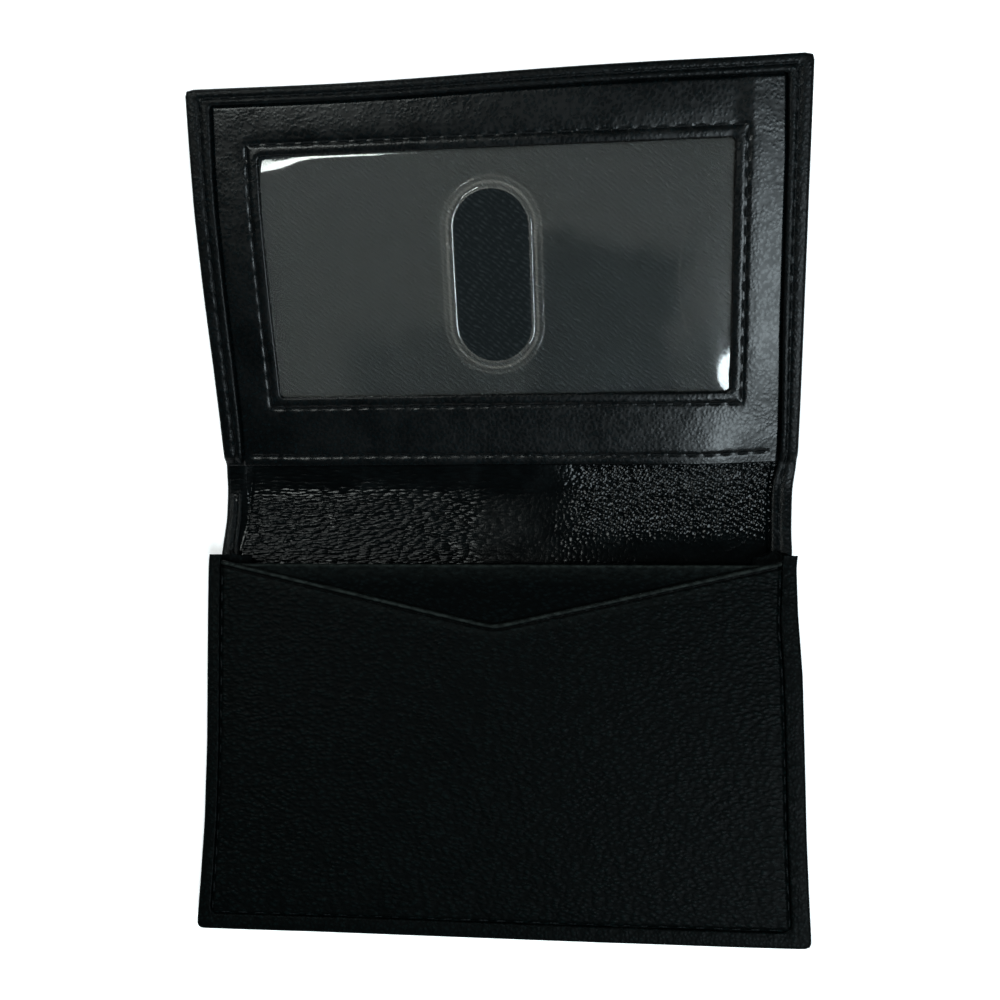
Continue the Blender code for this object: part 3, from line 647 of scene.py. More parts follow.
def front_relief(x, u, top):
    """The pocket's front: its turned V edge with the crease below it, and its drop into the edge seam."""
    down = top - u
    relief = -rounded_drop(down, PLY_ROUND)
    relief += 0.07 * hump(down, 0.5, 0.3)
    relief -= 0.15 * hump(down, 1.05, 0.22)
    inside = np.minimum(HALF_WIDTH - rim_width(x, u) - np.abs(x), u - BOTTOM_RIM_WIDTH)
    relief -= RIM_GROOVE_DEPTH * ease(inside, 0.9, 0.05)
    relief += 0.1 * ease(inside, 0.8, 3)
    relief += 0.07 * noise(x / 16, u / 12, 61)
    tilted = u - 0.12 * x
    relief += 0.012 * noise(x / 3.4, tilted / 2.6, 62)
    patch = 0.35 + 0.65 * ease(noise(x / 13, u / 9, 64), -0.3, 0.5)
    return relief + 0.02 * patch * noise(x / 2.4, tilted / 0.72, 63)


def back_relief(x, s, edge_distance, along, pitch):
    """The outer leather's back: soft waves, its seam near the edge and the creases of the two folds."""
    relief = 0.05 * (noise(x / 19, s / 15, 71) + 1)
    relief += 0.1 * hump(s, LOWER_FOLD, 0.7) + 0.08 * hump(s, UPPER_FOLD, 0.9)
    depth = 0.09 + 0.13 * stitch_wave(along, pitch)
    return relief + depth * hump(edge_distance, EDGE_SEAM_INSET, SEAM_GROOVE)


# Pieces of leather


def band_top(s):
    """Height of the turned edge: it climbs onto the window's frame at the hem."""
    return SPINE_BAND_TOP + (FLAP_BAND_TOP - SPINE_BAND_TOP) * ease(s, 17, 19.2)


def shell_section():
    """A turned edge's section, from the skin inside it over the edge's top and down round to the back.

    Each point has its distance from the edge, its height, 1 if that counts from the turned edge's top or 0 if
    from the back, the radius of the outline's corners there, and the kind of face that it lies on.
    """
    round_end = BAND_WIDTH - TURNED_ROUND
    section = [
        (SHELL_INSET, SHELL, 0, 0, "skin"),
        (3, SHELL, 0, 0.6, "skin"),
        (0.75, SHELL, 0, 1, "skin"),
        (0.7, SHELL + 0.05, 0, 1, "skin"),
        (0.7, -TURNED - 0.04, 1, 1, "skin"),
        (0.75, -TURNED, 1, 1, "skin"),
        (2.5, -TURNED, 1, 0.6, "skin"),
        (BAND_WIDTH - 0.1, -TURNED, 1, 0.4, "skin"),
        (BAND_WIDTH, -TURNED + 0.08, 1, 0.4, "skin"),
    ]
    section += [(BAND_WIDTH - come, -left, 1, 0.4, "top") for come, left in quarter_round(TURNED_ROUND, 5)]
    near_seam = {"fine": [EDGE_SEAM_INSET], "reach": 0.5}
    for distance in lines([EDGE_ROUND, EDGE_SEAM_INSET, round_end], 0.3, fine_step=0.13, **near_seam)[-2::-1]:
        radius = 0.4 + (SEEN_CORNER_RADIUS - 0.4) * (1 - distance / BAND_WIDTH)
        section.append((distance, 0, 1, radius, "top"))
    edge = quarter_round(EDGE_ROUND, 7)
    section += [(left, -come, 1, SEEN_CORNER_RADIUS, "wall") for come, left in edge[1:]]
    section += [(come, left, 0, SEEN_CORNER_RADIUS, "wall") for come, left in edge]
    keys = [EDGE_ROUND, EDGE_SEAM_INSET, 4, SHELL_INSET]
    for distance in lines(keys, 0.4, fine_step=0.14, **near_seam)[1:]:
        section.append((distance, 0, 0, max(0, SEEN_CORNER_RADIUS - distance / 4), "back"))
    return (np.array(column) for column in zip(*section))


def turned_shell(name, end):
    """Outer leather from the split to one closed end, turned over on three sides, and its seams' paths."""
    length = abs(end - SHELL_SPLIT)
    way = 1 if end > SHELL_SPLIT else -1
    distances, base, share, radii, kind = shell_section()
    x, t, side, across = edge_path(HALF_WIDTH, length, SHELL_INSET, distances, radii, step=0.55)
    s = SHELL_SPLIT + way * t
    narrow_x, narrow_s = narrow_band(x, s)
    x = np.where(share > 0, narrow_x, x)
    s = np.where(share > 0, narrow_s, s)
    off_seam = np.abs(distances - EDGE_SEAM_INSET)
    seam_column = int(np.argmin(off_seam + (kind != "top")))
    back_column = int(np.argmin(off_seam + (kind != "back")))
    along, pitch, count = on_path(x[:, seam_column], s[:, seam_column], STITCH_PITCH)
    eased = flat_at(s, SHELL_SPLIT)
    h = base + share * band_top(eased)
    h = h + np.where(kind == "top", band_relief(distances, along[:, None], pitch) + band_ripple(x, eased), 0)
    back = back_relief(x, eased, distances, along[:, None], pitch)
    h = h + np.where(kind == "back", back * ease(distances, EDGE_ROUND, 1.2), 0)
    faces = [strip_faces(*x.shape, False)]
    parts = [spread(on_sheet, x, s, h)]
    total = x.size

    grid_x, grid_t = np.meshgrid(across, side)
    grid_s = SHELL_SPLIT + way * grid_t
    back = back_relief(grid_x, flat_at(grid_s, SHELL_SPLIT), SHELL_INSET, 0, 1)
    for height in (SHELL, back):
        faces.append(strip_faces(*grid_x.shape, False) + total)
        parts.append(spread(on_sheet, grid_x, grid_s, height))
        total += grid_x.size
    obj = make_mesh(name, parts, np.concatenate(faces).tolist())
    runs = [
        (along, x[:, column], s[:, column], h[:, column], on_sheet, pitch, count, way_up)
        for column, way_up in ((seam_column, 1), (back_column, -1))
    ]
    return obj, runs


def make_lining(name, low, high):
    """One stretch of the glazed lining, on a grid that is close only where the lining is seen."""
    x_lines = lines([-PLY_HALF, -48.5, 10, 48.5, PLY_HALF], 0.28)
    keys = [low] + [place for place in SEEN_LINING if low < place < high] + [high]
    s_lines = []
    for start, end in zip(keys, keys[1:]):
        seen = SEEN_LINING[0] < (start + end) / 2 < SEEN_LINING[1]
        s_lines.append(lines([start, end], 0.13 if seen else 2.5))
    x, s = np.meshgrid(x_lines, np.unique(np.concatenate(s_lines)))
    return slab(name, on_sheet, x, s, LINING_TOP + lining_relief(x, s), LINING_LOW)


def make_twill():
    x, s = np.meshgrid(lines([-PLY_HALF, PLY_HALF], 1), lines([TWILL_START, FLAP_PLY_END], 1))
    top = TWILL_TOP + 0.03 * noise(x / 9, s / 8, 81)
    return slab("twill_behind_window", on_sheet, x, s, top, LINING_LOW)


def make_panel():
    """The window's frame on a grid whose lines follow its edges and seams, bent round the window's corners."""
    x_keys = [-PLY_HALF, -WINDOW_HALF, WINDOW_HALF, PLY_HALF]
    x_fine = [-48.6, -47.8, -SEAM_X, -WINDOW_HALF, WINDOW_HALF, SEAM_X, 47.9, 48.6]
    s_keys = [HEM_EDGE, WINDOW_LOW, WINDOW_HIGH, FLAP_PLY_END]
    s_fine = [HEM_EDGE + 0.2, HEM_SEAM, SEAM_LOW, WINDOW_LOW, WINDOW_HIGH, SEAM_HIGH, TOP_BAND_INNER]
    x_lines = lines(x_keys, 0.5, x_fine, fine_step=0.13, reach=0.45)
    s_lines = lines(s_keys, 0.5, s_fine, fine_step=0.13, reach=0.45)
    x, s = np.meshgrid(x_lines, s_lines)
    mid_x = (x_lines[1:] + x_lines[:-1]) / 2
    mid_s = (s_lines[1:] + s_lines[:-1]) / 2
    hole = (np.abs(mid_x) < WINDOW_HALF) & ((mid_s > WINDOW_LOW) & (mid_s < WINDOW_HIGH))[:, None]
    for corner_s, way in ((WINDOW_LOW, 1), (WINDOW_HIGH, -1)):
        for side in (-1, 1):
            gap_x = WINDOW_HALF - side * x
            gap_s = way * (s - corner_s)
            near = np.hypot(np.maximum(-gap_x, 0), np.maximum(-gap_s, 0))
            along = np.maximum(gap_x, 0) + np.maximum(gap_s, 0)
            share = np.clip(1 - along / WINDOW_RADIUS, 0, 1) ** 2
            share = share * np.clip(1 - near / (2 * WINDOW_RADIUS), 0, 1)
            pull = WINDOW_RADIUS * (1 - math.sqrt(0.5)) * share
            x = x - side * pull
            s = s + way * pull
    low = PANEL_LOW + hem_lift(x, s) * 0.9 + np.minimum(side_lean(x, s), 0) + 0.1 * hump(s, HEM_EDGE, 0.3)
    return slab("window_frame_leather", on_sheet, x, s, frame_top(x, s), low, ~hole, smooth_angle=50)


def make_film():
    """The clear film: rings of points from the thumb slot with its welded rim out to the film's edge."""
    radius = THUMB_WIDTH / 2
    straight = (THUMB_LENGTH - THUMB_WIDTH) / 2
    arc, side = math.pi * radius, 2 * straight
    rays, rings = 200, 33
    ends = np.cumsum([0, arc, side, arc, side])
    run = np.arange(rays) / rays * ends[-1]
    turn = np.interp(run, ends, [0, np.pi, np.pi, 2 * np.pi, 2 * np.pi])
    middle = np.interp(run, ends, [straight, straight, -straight, -straight, straight])
    normals = np.stack([np.cos(turn), np.sin(turn)], -1)[:, None]
    points = radius * normals + np.stack([0 * middle, middle], -1)[:, None]
    reach = [0, 0.06, 0.13, 0.22, 0.32, 0.45, 0.6, 0.8, 1, 1.2, 1.4, 1.6, 1.75, 1.9, 2.05, 2.2, 2.35, 2.5, 2.7]
    near = points + normals * np.array(reach)[:, None]
    start = near[:, -1]
    high = np.array([SEAM_X + FILM_MARGIN - THUMB_X, SEAM_HIGH + FILM_MARGIN - THUMB_S])
    low = np.array([-SEAM_X - FILM_MARGIN - THUMB_X, SEAM_LOW - FILM_MARGIN - THUMB_S])
    room = np.abs(np.where(start > 0, high, low)) / np.maximum(np.abs(start), TINY)
    to_edge = 1 + (np.min(room, axis=1)[:, None] - 1) * np.linspace(0, 1, rings + 1)[1:]
    grid = np.concatenate([near, start[:, None] * to_edge[:, :, None]], 1)
    grid = np.concatenate([grid, grid[:1]])
    x, s = THUMB_X + grid[:, :, 0], THUMB_S + grid[:, :, 1]
    distance = np.array(reach + [9] * (x.shape[1] - len(reach)))
    rim = 0.06 * hump(distance, 0.32, 0.17) + 0.05 * hump(distance, 1.1, 0.22)
    rim = rim + 0.05 * ease(distance, 2.25, 1.95)
    weld = 0.55 * hump(distance, 0.14, 0.12) + hump(distance, 1.1, 0.17)
    weld = weld + 0.45 * hump(distance, 2.1, 0.14) + 0.1 * ease(distance, 2.3, 2)
    wave = film_relief(x, s)
    top = FILM_TOP + wave + rim - rounded_drop(distance, 0.08)
    obj = slab("clear_window_film", on_sheet, x, s, top, FILM_LOW + wave, joined=True)
    places = flat_places(obj)
    beside = np.maximum(np.abs(places[:, 1] - THUMB_S) - straight, 0)
    gap = np.hypot(places[:, 0] - THUMB_X, beside) - radius
    add_values(obj, "weld", np.interp(gap, distance, weld))
    return obj


def v_top(x):
    """The V-shaped top edge: its distance up the front."""
    end = up_the_front(-FRONT_END_DROP)
    apex = up_the_front(-V_DEPTH)
    round_off = 1.1
    reach = np.sqrt(x * x + round_off * round_off) - round_off
    return apex + (end - apex) * reach / (HALF_WIDTH - RIM_WIDTH - 0.7)


def make_front():
    """The pocket's front, on a grid whose upper rows follow its V-shaped edge."""
    low = 0.9
    depth = up_the_front(0) - low
    x_lines = lines([-PLY_HALF, 0, PLY_HALF], 0.5, [-49.2, 48.6, 49.2], fine_step=0.14, reach=0.6)
    fine_rows = [0, 0.6, 1.2, depth - (BOTTOM_RIM_WIDTH - low + 0.4)]
    rows = lines([0, depth], 0.5, fine_rows, fine_step=0.13)[:, None]
    x, down = np.broadcast_arrays(x_lines, rows)
    top = v_top(x)
    blend = ease(down, 1.5, 12)
    u = (top - down * (1 - blend) - down / depth * (top - low) * blend)[::-1]
    hidden = (np.abs(x) > HALF_WIDTH - rim_width(x, u)) | (u < BOTTOM_RIM_WIDTH)
    height = front_relief(x, u, top) - np.where(hidden, 0.2, 0)
    obj = slab("pocket_front_leather", on_front, x, u, height, -FRONT - 0.02, smooth_angle=50)
    down = v_top(flat_places(obj)[:, 0]) - flat_places(obj)[:, 1]
    # Painted light on the front: a painted highlight along the turned V edge and the strip below it, and a
    # painted shadow in the crease under it
    light = 0.8 * hump(down, 0.5, 0.26) + 0.2 * ease(down, 3.5, 0.3)
    add_values(obj, "painted_edge_light_and_shade", light - 1.1 * hump(down, 1.05, 0.24))
    return obj


def make_divider():
    """The straight panel behind the pocket's front."""
    half = HALF_WIDTH - TURNED - 0.3
    low = up_the_front(0.85 - POCKET_LENGTH)
    high = up_the_front(-DIVIDER_DROP)
    u_lines = lines([low, high - 16, high], 0.6, [high], fine_step=0.1, reach=0.5)
    x, u = np.meshgrid(lines([-half, half], 0.6), u_lines)
    down = high - u
    top = DIVIDER_TOP - rounded_drop(down, PLY_ROUND) - 0.1 * hump(down, 1.1, 0.2)
    top = top + 0.012 * noise(x / 2.4, u / 1.6, 65)
    low_face = DIVIDER_TOP - DIVIDER
    obj = slab("pocket_divider_leather", on_front, x, u, top, low_face, smooth_angle=50)
    down = high - flat_places(obj)[:, 1]
    # A painted highlight along the divider's top edge
    add_values(obj, "painted_edge_light_and_shade", 0.6 * hump(down, 0.3, 0.22) + 0.2 * ease(down, 4, 0.3))
    return obj


def make_rim():
    """The bound edge round three sides of the pocket's front, with the wall below it."""
    length = up_the_front(0)
    inner = RIM_WIDTH
    section = [
        (0.5, -RIM_WALL, 1.2, "wall"),
        (0.5, -TURNED - 0.03, 1.2, "wall"),
        (0.55, -TURNED, 1.2, "wall"),
        (inner - 0.08, -TURNED, 1.1, "wall"),
        (inner, -TURNED + 0.08, 1.1, "wall"),
    ]
    section += [(inner - come, -left, 1.1, "top") for come, left in quarter_round(RIM_INNER_ROUND, 5)]
    section += [(place, 0, 1.3, "top") for place in lines([RIM_ROUND, inner - RIM_INNER_ROUND], 0.16)[-2::-1]]
    section += [(left, -come, 1.1, "top") for come, left in quarter_round(RIM_ROUND, 7)[1:]]
    section += [(0, -RIM_WALL + 0.15, 1.1, "wall"), (0.15, -RIM_WALL, 1.1, "wall")]
    distances, base, radii, kind = (np.array(column) for column in zip(*section))
    x, t, _, _ = edge_path(HALF_WIDTH, length, 3.2, distances, radii, step=0.4, fan=12)
    u = length - t
    gap = HALF_WIDTH - np.abs(x)
    wider = RIM_ROUND + (gap - RIM_ROUND) * (rim_width(x, u) - RIM_ROUND) / (inner - RIM_ROUND)
    x = np.where(gap > RIM_ROUND, np.sign(x) * (HALF_WIDTH - wider), x)
    higher = RIM_ROUND + (u - RIM_ROUND) * (BOTTOM_RIM_WIDTH - RIM_ROUND) / (inner - RIM_ROUND)
    u = np.where(u > RIM_ROUND, u + (higher - u) * ease(u, 8, inner), u)
    column = int(np.argmin(np.abs(distances - inner)))
    along, pitch, _ = on_path(x[:, column], t[:, column], STITCH_PITCH)
    between = 1 - stitch_wave(along, pitch)[:, None]
    edge = hump(distances, inner - 0.1, 0.45)
    relief = 0.15 * between * edge - 0.06 * edge + 0.05 * hump(distances, 1.1, 0.5)
    relief = np.where(kind == "top", relief + 0.02 * noise(x / 1.3, u / 1.3, 67), 0)
    lean = ease(base, -0.6, -RIM_WALL)
    x = x - np.sign(x) * 0.12 * lean * (0.5 + 0.5 * noise(0 * u, u / 11, 68))
    faces = strip_faces(*x.shape, True).tolist()
    return make_mesh("pocket_edge_binding", [spread(on_front, x, u, base + relief)], faces, 50)


def pocket_seam_run():
    """The course of the stitches in the groove between the pocket's front and its bound edge."""
    top = up_the_front(-POCKET_SEAM_DROP)
    x, t, _, _ = edge_path(HALF_WIDTH, top, 3.6, [POCKET_SEAM_INSET], [1.1], step=0.3, fan=12)
    x, u = x[:, 0], top - t[:, 0]
    x = x + np.where(x < 0, 1, -1) * (rim_width(x, u) - RIM_WIDTH) * ease(np.abs(x), 44, 48)
    u = u + (BOTTOM_RIM_WIDTH - RIM_WIDTH) * ease(u, 5, 3)
    along, pitch, count = on_path(x, u, STITCH_PITCH)
    height = -RIM_GROOVE_DEPTH - 0.06 * stitch_wave(along, pitch)
    return along, x, u, height, on_front, pitch, count, 1


def make_gusset(name, side):
    """A pleated side of the pocket: one leather strip folded inward, lofted from the bottom to the mouth."""
    bottom = -POCKET_LENGTH + RIM_WIDTH + 0.3
    samples = np.linspace(-1, 1, 25)
    start = 0.3
    tongue_length = 1.2 if side > 0 else 0.3
    rows = 90
    parts = []
    for share in np.arange(rows) / (rows - 1):
        y = bottom * (1 - share)
        front = FRONT_HEIGHT_AT_BOTTOM + (y + POCKET_LENGTH) * math.tan(FRONT_SLOPE)
        upper = front - LEG_TOP_DROP / math.cos(FRONT_SLOPE)
        room = upper - GUSSET_LOW
        thick = min(GUSSET_THICKNESS, 0.36 * room)
        depth = PLEAT_DEPTH_AT_BOTTOM + (PLEAT_DEPTH_AT_MOUTH - PLEAT_DEPTH_AT_BOTTOM) * share
        sway = 0.35 * noise(share * 5, np.float64(side * 3), 91) * share
        inward = start + (depth + sway - start - thick / 2) * (1 - np.abs(samples) ** 1.25)
        line = np.stack([inward, GUSSET_LOW + room / 2 - samples * (room / 2 - thick / 2)], -1)
        tangent = np.gradient(line, axis=0)
        tangent /= np.linalg.norm(tangent, axis=1, keepdims=True)
        normal = np.stack([-tangent[:, 1], tangent[:, 0]], -1)
        swell = normal * thick / 2 * np.sqrt(np.maximum(1 - np.abs(samples) ** 10, 0.15))[:, None]
        loop = np.concatenate([line + swell, (line - swell)[::-1]])
        x = side * (HALF_WIDTH - loop[:, 0])
        tongue = tongue_length * ease(share, 0.9, 1) * hump(loop[:, 0], 3.7, 0.9)
        moved, along = stray(x, y + tongue)
        points = np.stack([moved, along - MIDDLE_Y, np.minimum(loop[:, 1], upper)], -1)
        girth = np.concatenate([samples, samples[::-1]]) * 5
        parts.append((points, np.stack([girth, np.full_like(x, y), x], -1)))
    faces = strip_faces(rows, 2 * len(samples), True).tolist()
    return make_mesh(name, parts, faces, 60)


def straight_runs(corners, counts):
    """Runs of stitches on the window's frame, along legs from corner to corner, a whole number to each leg."""
    runs = []
    for (x0, s0), (x1, s1), count in zip(corners, corners[1:], counts):
        share = np.linspace(0, 1, 40 * count + 1)
        x = x0 + (x1 - x0) * share
        s = s0 + (s1 - s0) * share
        length = math.hypot(x1 - x0, s1 - s0)
        runs.append((share * length, x, s, frame_top(x, s), on_sheet, length / count, count, 1))
    return runs


# Materials


class Value:
    """What a node puts out, with which arithmetic makes maths nodes."""

    def __init__(self, nodes, socket):
        self.nodes = nodes
        self.socket = socket

    def __add__(self, other):
        return self.nodes.maths("ADD", self, other)

    def __sub__(self, other):
        return self.nodes.maths("SUBTRACT", self, other)

    def __rsub__(self, other):
        return self.nodes.maths("SUBTRACT", other, self)

    def __mul__(self, other):
        return self.nodes.maths("MULTIPLY", self, other)

    def __pow__(self, other):
        return self.nodes.maths("POWER", self, other)

    def __abs__(self):
        return self.nodes.maths("ABSOLUTE", self)

    def at_least(self, other):
        return self.nodes.maths("MAXIMUM", self, other)


class Nodes:
    """The node tree of a material or a world, written one node at a time, with sizes in mm."""

    def __init__(self, owner, output_kind="OutputMaterial"):
        self.owner = owner
        owner.use_nodes = True
        self.tree = owner.node_tree
        self.tree.nodes.clear()
        self.output = self.add(output_kind)

    def add(self, kind, *values, settings=None, **named):
        """A node with its first inputs by their order, and others by name, where _ stands for a space."""
        node = self.tree.nodes.new("ShaderNode" + kind)
        for key, value in (settings or {}).items():
            setattr(node, key, value)
        for key, value in enumerate(values):
            self.put(node, key, value)
        for key, value in named.items():
            self.put(node, key.replace("_", " "), value)
        return node

    def put(self, node, key, value):
        socket = node.inputs[key]
        if isinstance(value, Value):
            self.tree.links.new(value.socket, socket)
        elif socket.type == "RGBA":
            socket.default_value = (*value, 1)
        else:
            socket.default_value = value

    def out(self, node, key=0):
        return Value(self, node.outputs[key])

    def maths(self, operation, *values):
        return self.out(self.add("Math", *values, settings={"operation": operation}))

    def span(self, value, low, high, to_low, to_high):
        """A smooth rise or fall from one number to another, while the value goes from low to high."""
        node = self.add("MapRange", value, low, high, to_low, to_high)
        node.interpolation_type = "SMOOTHSTEP"
        return self.out(node)

    def mix(self, factor, one, two, kind="RGBA", first=6, output=2):
        node = self.add("Mix", factor, settings={"data_type": kind})
        self.put(node, first, one)
        self.put(node, first + 1, two)
        return self.out(node, output)

    def attribute(self, name, output):
        return self.out(self.add("Attribute", settings={"attribute_name": name}), output)

    def parts(self, vector):
        node = self.add("SeparateXYZ", vector)
        return [self.out(node, k) for k in range(3)]

    def stretch(self, vector, across, turn=0.0):
        """A vector scaled along its first axis and turned."""
        return self.out(self.add("Mapping", Vector=vector, Scale=(across, 1, 1), Rotation=(0, 0, turn)))

    def warp(self, vector, size, amount):
        """A vector moved about by clouds of a size."""
        node = self.add("TexNoise", Vector=vector, Scale=1 / size, Detail=1.0)
        moved = self.add("VectorMath", settings={"operation": "MULTIPLY_ADD"})
        for key, value in enumerate((self.out(node, "Color"), (amount,) * 3, vector)):
            self.put(moved, key, value)
        return self.out(moved)

    def clouds(self, vector, size, detail=2.0, roughness=0.5):
        node = self.add("TexNoise", Vector=vector, Scale=1 / size, Detail=detail, Roughness=roughness)
        return self.out(node, "Fac")

    def cells(self, vector, size, smoothness):
        settings = {"feature": "SMOOTH_F1"}
        node = self.add("TexVoronoi", settings=settings, Vector=vector, Scale=1 / size, Smoothness=smoothness)
        return self.out(node, "Distance")

    def bump(self, height, depth, under=None):
        """A relief of a depth in mm, on top of another one."""
        node = self.add("Bump", Height=height, Distance=depth * MM, Strength=1.0)
        if under is not None:
            self.put(node, "Normal", under)
        return self.out(node)

    def seen_by(self, *rays):
        """1 for rays of these kinds, and 0 for others."""
        path = self.add("LightPath")
        seen = self.out(path, f"Is {rays[0]} Ray")
        for ray in rays[1:]:
            seen = seen.at_least(self.out(path, f"Is {ray} Ray"))
        return seen

    def mixed(self, factor, one, two):
        return self.out(self.add("MixShader", factor, self.out(one), self.out(two)))

    def finish(self, shader):
        self.put(self.output, "Surface", shader)
        return self.owner

    def cover(self, tone, gloss, specular, **others):
        """A principled shader on the output, its specular level set on the shader itself."""
        shader = self.add("BsdfPrincipled", Base_Color=tone, Roughness=gloss, **others)
        shader.inputs["Specular IOR Level"].default_value = specular
        return self.finish(self.out(shader))


def new_look(name):
    """The nodes of a new material, and the flat place of the point that is shaded."""
    nodes = Nodes(bpy.data.materials.new(name))
    return nodes, nodes.attribute("flat", "Vector")


def leather(name, dark, light, rough, specular, grain, depth, long_grain=1.0, turn=0.0):
    """Grained leather: pebbles of the grain's size, fine pores, cloudy colour, painted highlights along edges
    and painted shadows in creases from a point attribute, and uneven gloss.
    """
    nodes, flat = new_look(name)
    warped = nodes.stretch(nodes.warp(flat, 2.2 * grain, grain), 1 / long_grain, turn)
    pebbles = nodes.cells(warped, grain, 0.4)
    pores = nodes.clouds(flat, 0.22, 3.0, 0.6)
    slow = nodes.clouds(flat, 7, 3.0)
    blotches = nodes.clouds(nodes.stretch(flat, 1 / long_grain, turn), 0.8, 3.0, 0.6)
    normal = nodes.bump(pores, 0.006, nodes.bump(pebbles * -1.0, depth))
    tone = nodes.mix(nodes.span(slow, 0.3, 0.7, 0.0, 1.0), dark, light)
    tone = nodes.mix(nodes.span(blotches, 0.4, 0.7, 0.0, 0.8), tone, [1.9 * part for part in light])
    tone = nodes.mix(nodes.span(pebbles, 0.22, 0.5, 0.0, 0.85), tone, [0.3 * part for part in dark])
    # A point attribute lightens the tone into a painted highlight along edges, broken up by blotches, and
    # darkens it into a painted shadow in creases
    painted_edge_light_and_shade = nodes.attribute("painted_edge_light_and_shade", "Fac")
    painted_edge_highlight = (painted_edge_light_and_shade * nodes.span(blotches, 0.35, 0.65, 0.25, 0.8)).at_least(0.0)
    tone = nodes.mix(painted_edge_highlight, tone, (0.018, 0.022, 0.02))
    tone = nodes.mix((painted_edge_light_and_shade * -1.0).at_least(0.0), tone, (0.0001, 0.0001, 0.0001))
    gloss = nodes.span(slow, 0.25, 0.75, rough - 0.04, rough + 0.05)
    gloss = gloss + nodes.span(pebbles, 0.2, 0.8, -0.02, 0.08)
    return nodes.cover(tone, gloss, specular, Normal=normal)


def glazed_leather(name):
    """The lining: pebbles drawn out into creases at the left, round at the right, under a glaze."""
    nodes, flat = new_look(name)
    across, along, _ = nodes.parts(flat)
    warped = nodes.warp(flat, 3, 0.4)
    round_cells = nodes.cells(warped, 0.72, 0.25)
    long_cells = nodes.cells(nodes.stretch(warped, 0.3), 0.52, 0.15)
    left = nodes.span(across, -5, 20, 1.0, 0.0)
    pebbles = nodes.mix(left, round_cells**1.8, long_cells**1.5, kind="FLOAT", first=2, output=0)
    by_hem = left * nodes.span(along, 9, 14, 0.0, 0.88)
    by_mouth = (1.0 - left) * nodes.span(along, 7, 1.5, 0.0, 0.85)
    in_channel = nodes.span(across, -47.4, -48.2, 0.0, 0.9)
    in_middle = nodes.span(across, -11, -2, 0.0, 0.85) * nodes.span(across, 8, 17, 1.0, 0.0)
    calm = by_hem.at_least(by_mouth).at_least(in_channel).at_least(in_middle)
    normal = nodes.bump(pebbles * -1.0 * (1.0 - calm), 0.27)
    normal = nodes.bump(nodes.clouds(flat, 0.2), 0.003, normal)
    slow = nodes.clouds(flat, 6)
    tone = nodes.mix(nodes.span(slow, 0.3, 0.7, 0.0, 1.0), (0.0004, 0.0009, 0.001), (0.001, 0.0018, 0.002))
    tone = nodes.mix(nodes.span(pebbles, 0.1, 0.6, 0.0, 0.7), tone, (0.0002, 0.0004, 0.0005))
    return nodes.cover(tone, nodes.span(slow, 0.25, 0.75, 0.15, 0.21), 0.1, Normal=normal)


def twill_cloth(name):
    """Woven twill: diagonal ribs, broken up by the yarns across them and by unevenness of the weave."""
    nodes, flat = new_look(name)
    turned = nodes.stretch(flat, 1, math.radians(38))
    wobble = nodes.clouds(flat, 1.6) * 9.0
    across, along, _ = nodes.parts(turned)
    rib = nodes.maths("SINE", along * (2 * math.pi / 0.76) + wobble) * 0.5 + 0.5
    yarn = nodes.maths("SINE", across * (2 * math.pi / 1.5) + wobble) * 0.35 + 0.65
    fibre = nodes.clouds(flat, 0.14)
    broken = nodes.clouds(nodes.stretch(turned, 0.45), 0.5)
    rib = rib * yarn * nodes.span(broken, 0.36, 0.6, 0.12, 1.0)
    normal = nodes.bump(fibre, 0.03, nodes.bump(rib, 0.1))
    tone = nodes.mix(rib, (0.0034, 0.005, 0.0054), (0.015, 0.018, 0.0188))
    tone = nodes.mix(nodes.span(fibre, 0.35, 0.75, 0.0, 0.5), tone, (0.003, 0.0045, 0.005))
    return nodes.cover(tone, 0.85, 0.08, Normal=normal)


def thread_look(name):
    nodes, flat = new_look(name)
    fibre = nodes.clouds(flat, 0.1)
    bands = {"wave_type": "BANDS", "bands_direction": "DIAGONAL"}
    twist = nodes.out(nodes.add("TexWave", settings=bands, Vector=flat, Scale=1 / 1.1), "Fac")
    normal = nodes.bump(fibre, 0.01, nodes.bump(twist, 0.04))
    tone = nodes.mix(fibre, (0.0004, 0.0008, 0.001), (0.002, 0.003, 0.0034))
    return nodes.cover(tone, 0.6, 0.08, Normal=normal)


def scratch(nodes, across, along):
    """A faint curved scratch of the film, right of the thumb slot."""
    off_x = across - 62.6
    off_s = along - 50.4
    off = abs((off_x * off_x + off_s * off_s) ** 0.5 - 31.3)
    ends = nodes.span(abs(off_s), 8, 11.5, 1.0, 0.0) * nodes.span(across, 40, 41, 1.0, 0.0)
    return nodes.span(off, 0.05, 0.16, 1.0, 0.0) * ends


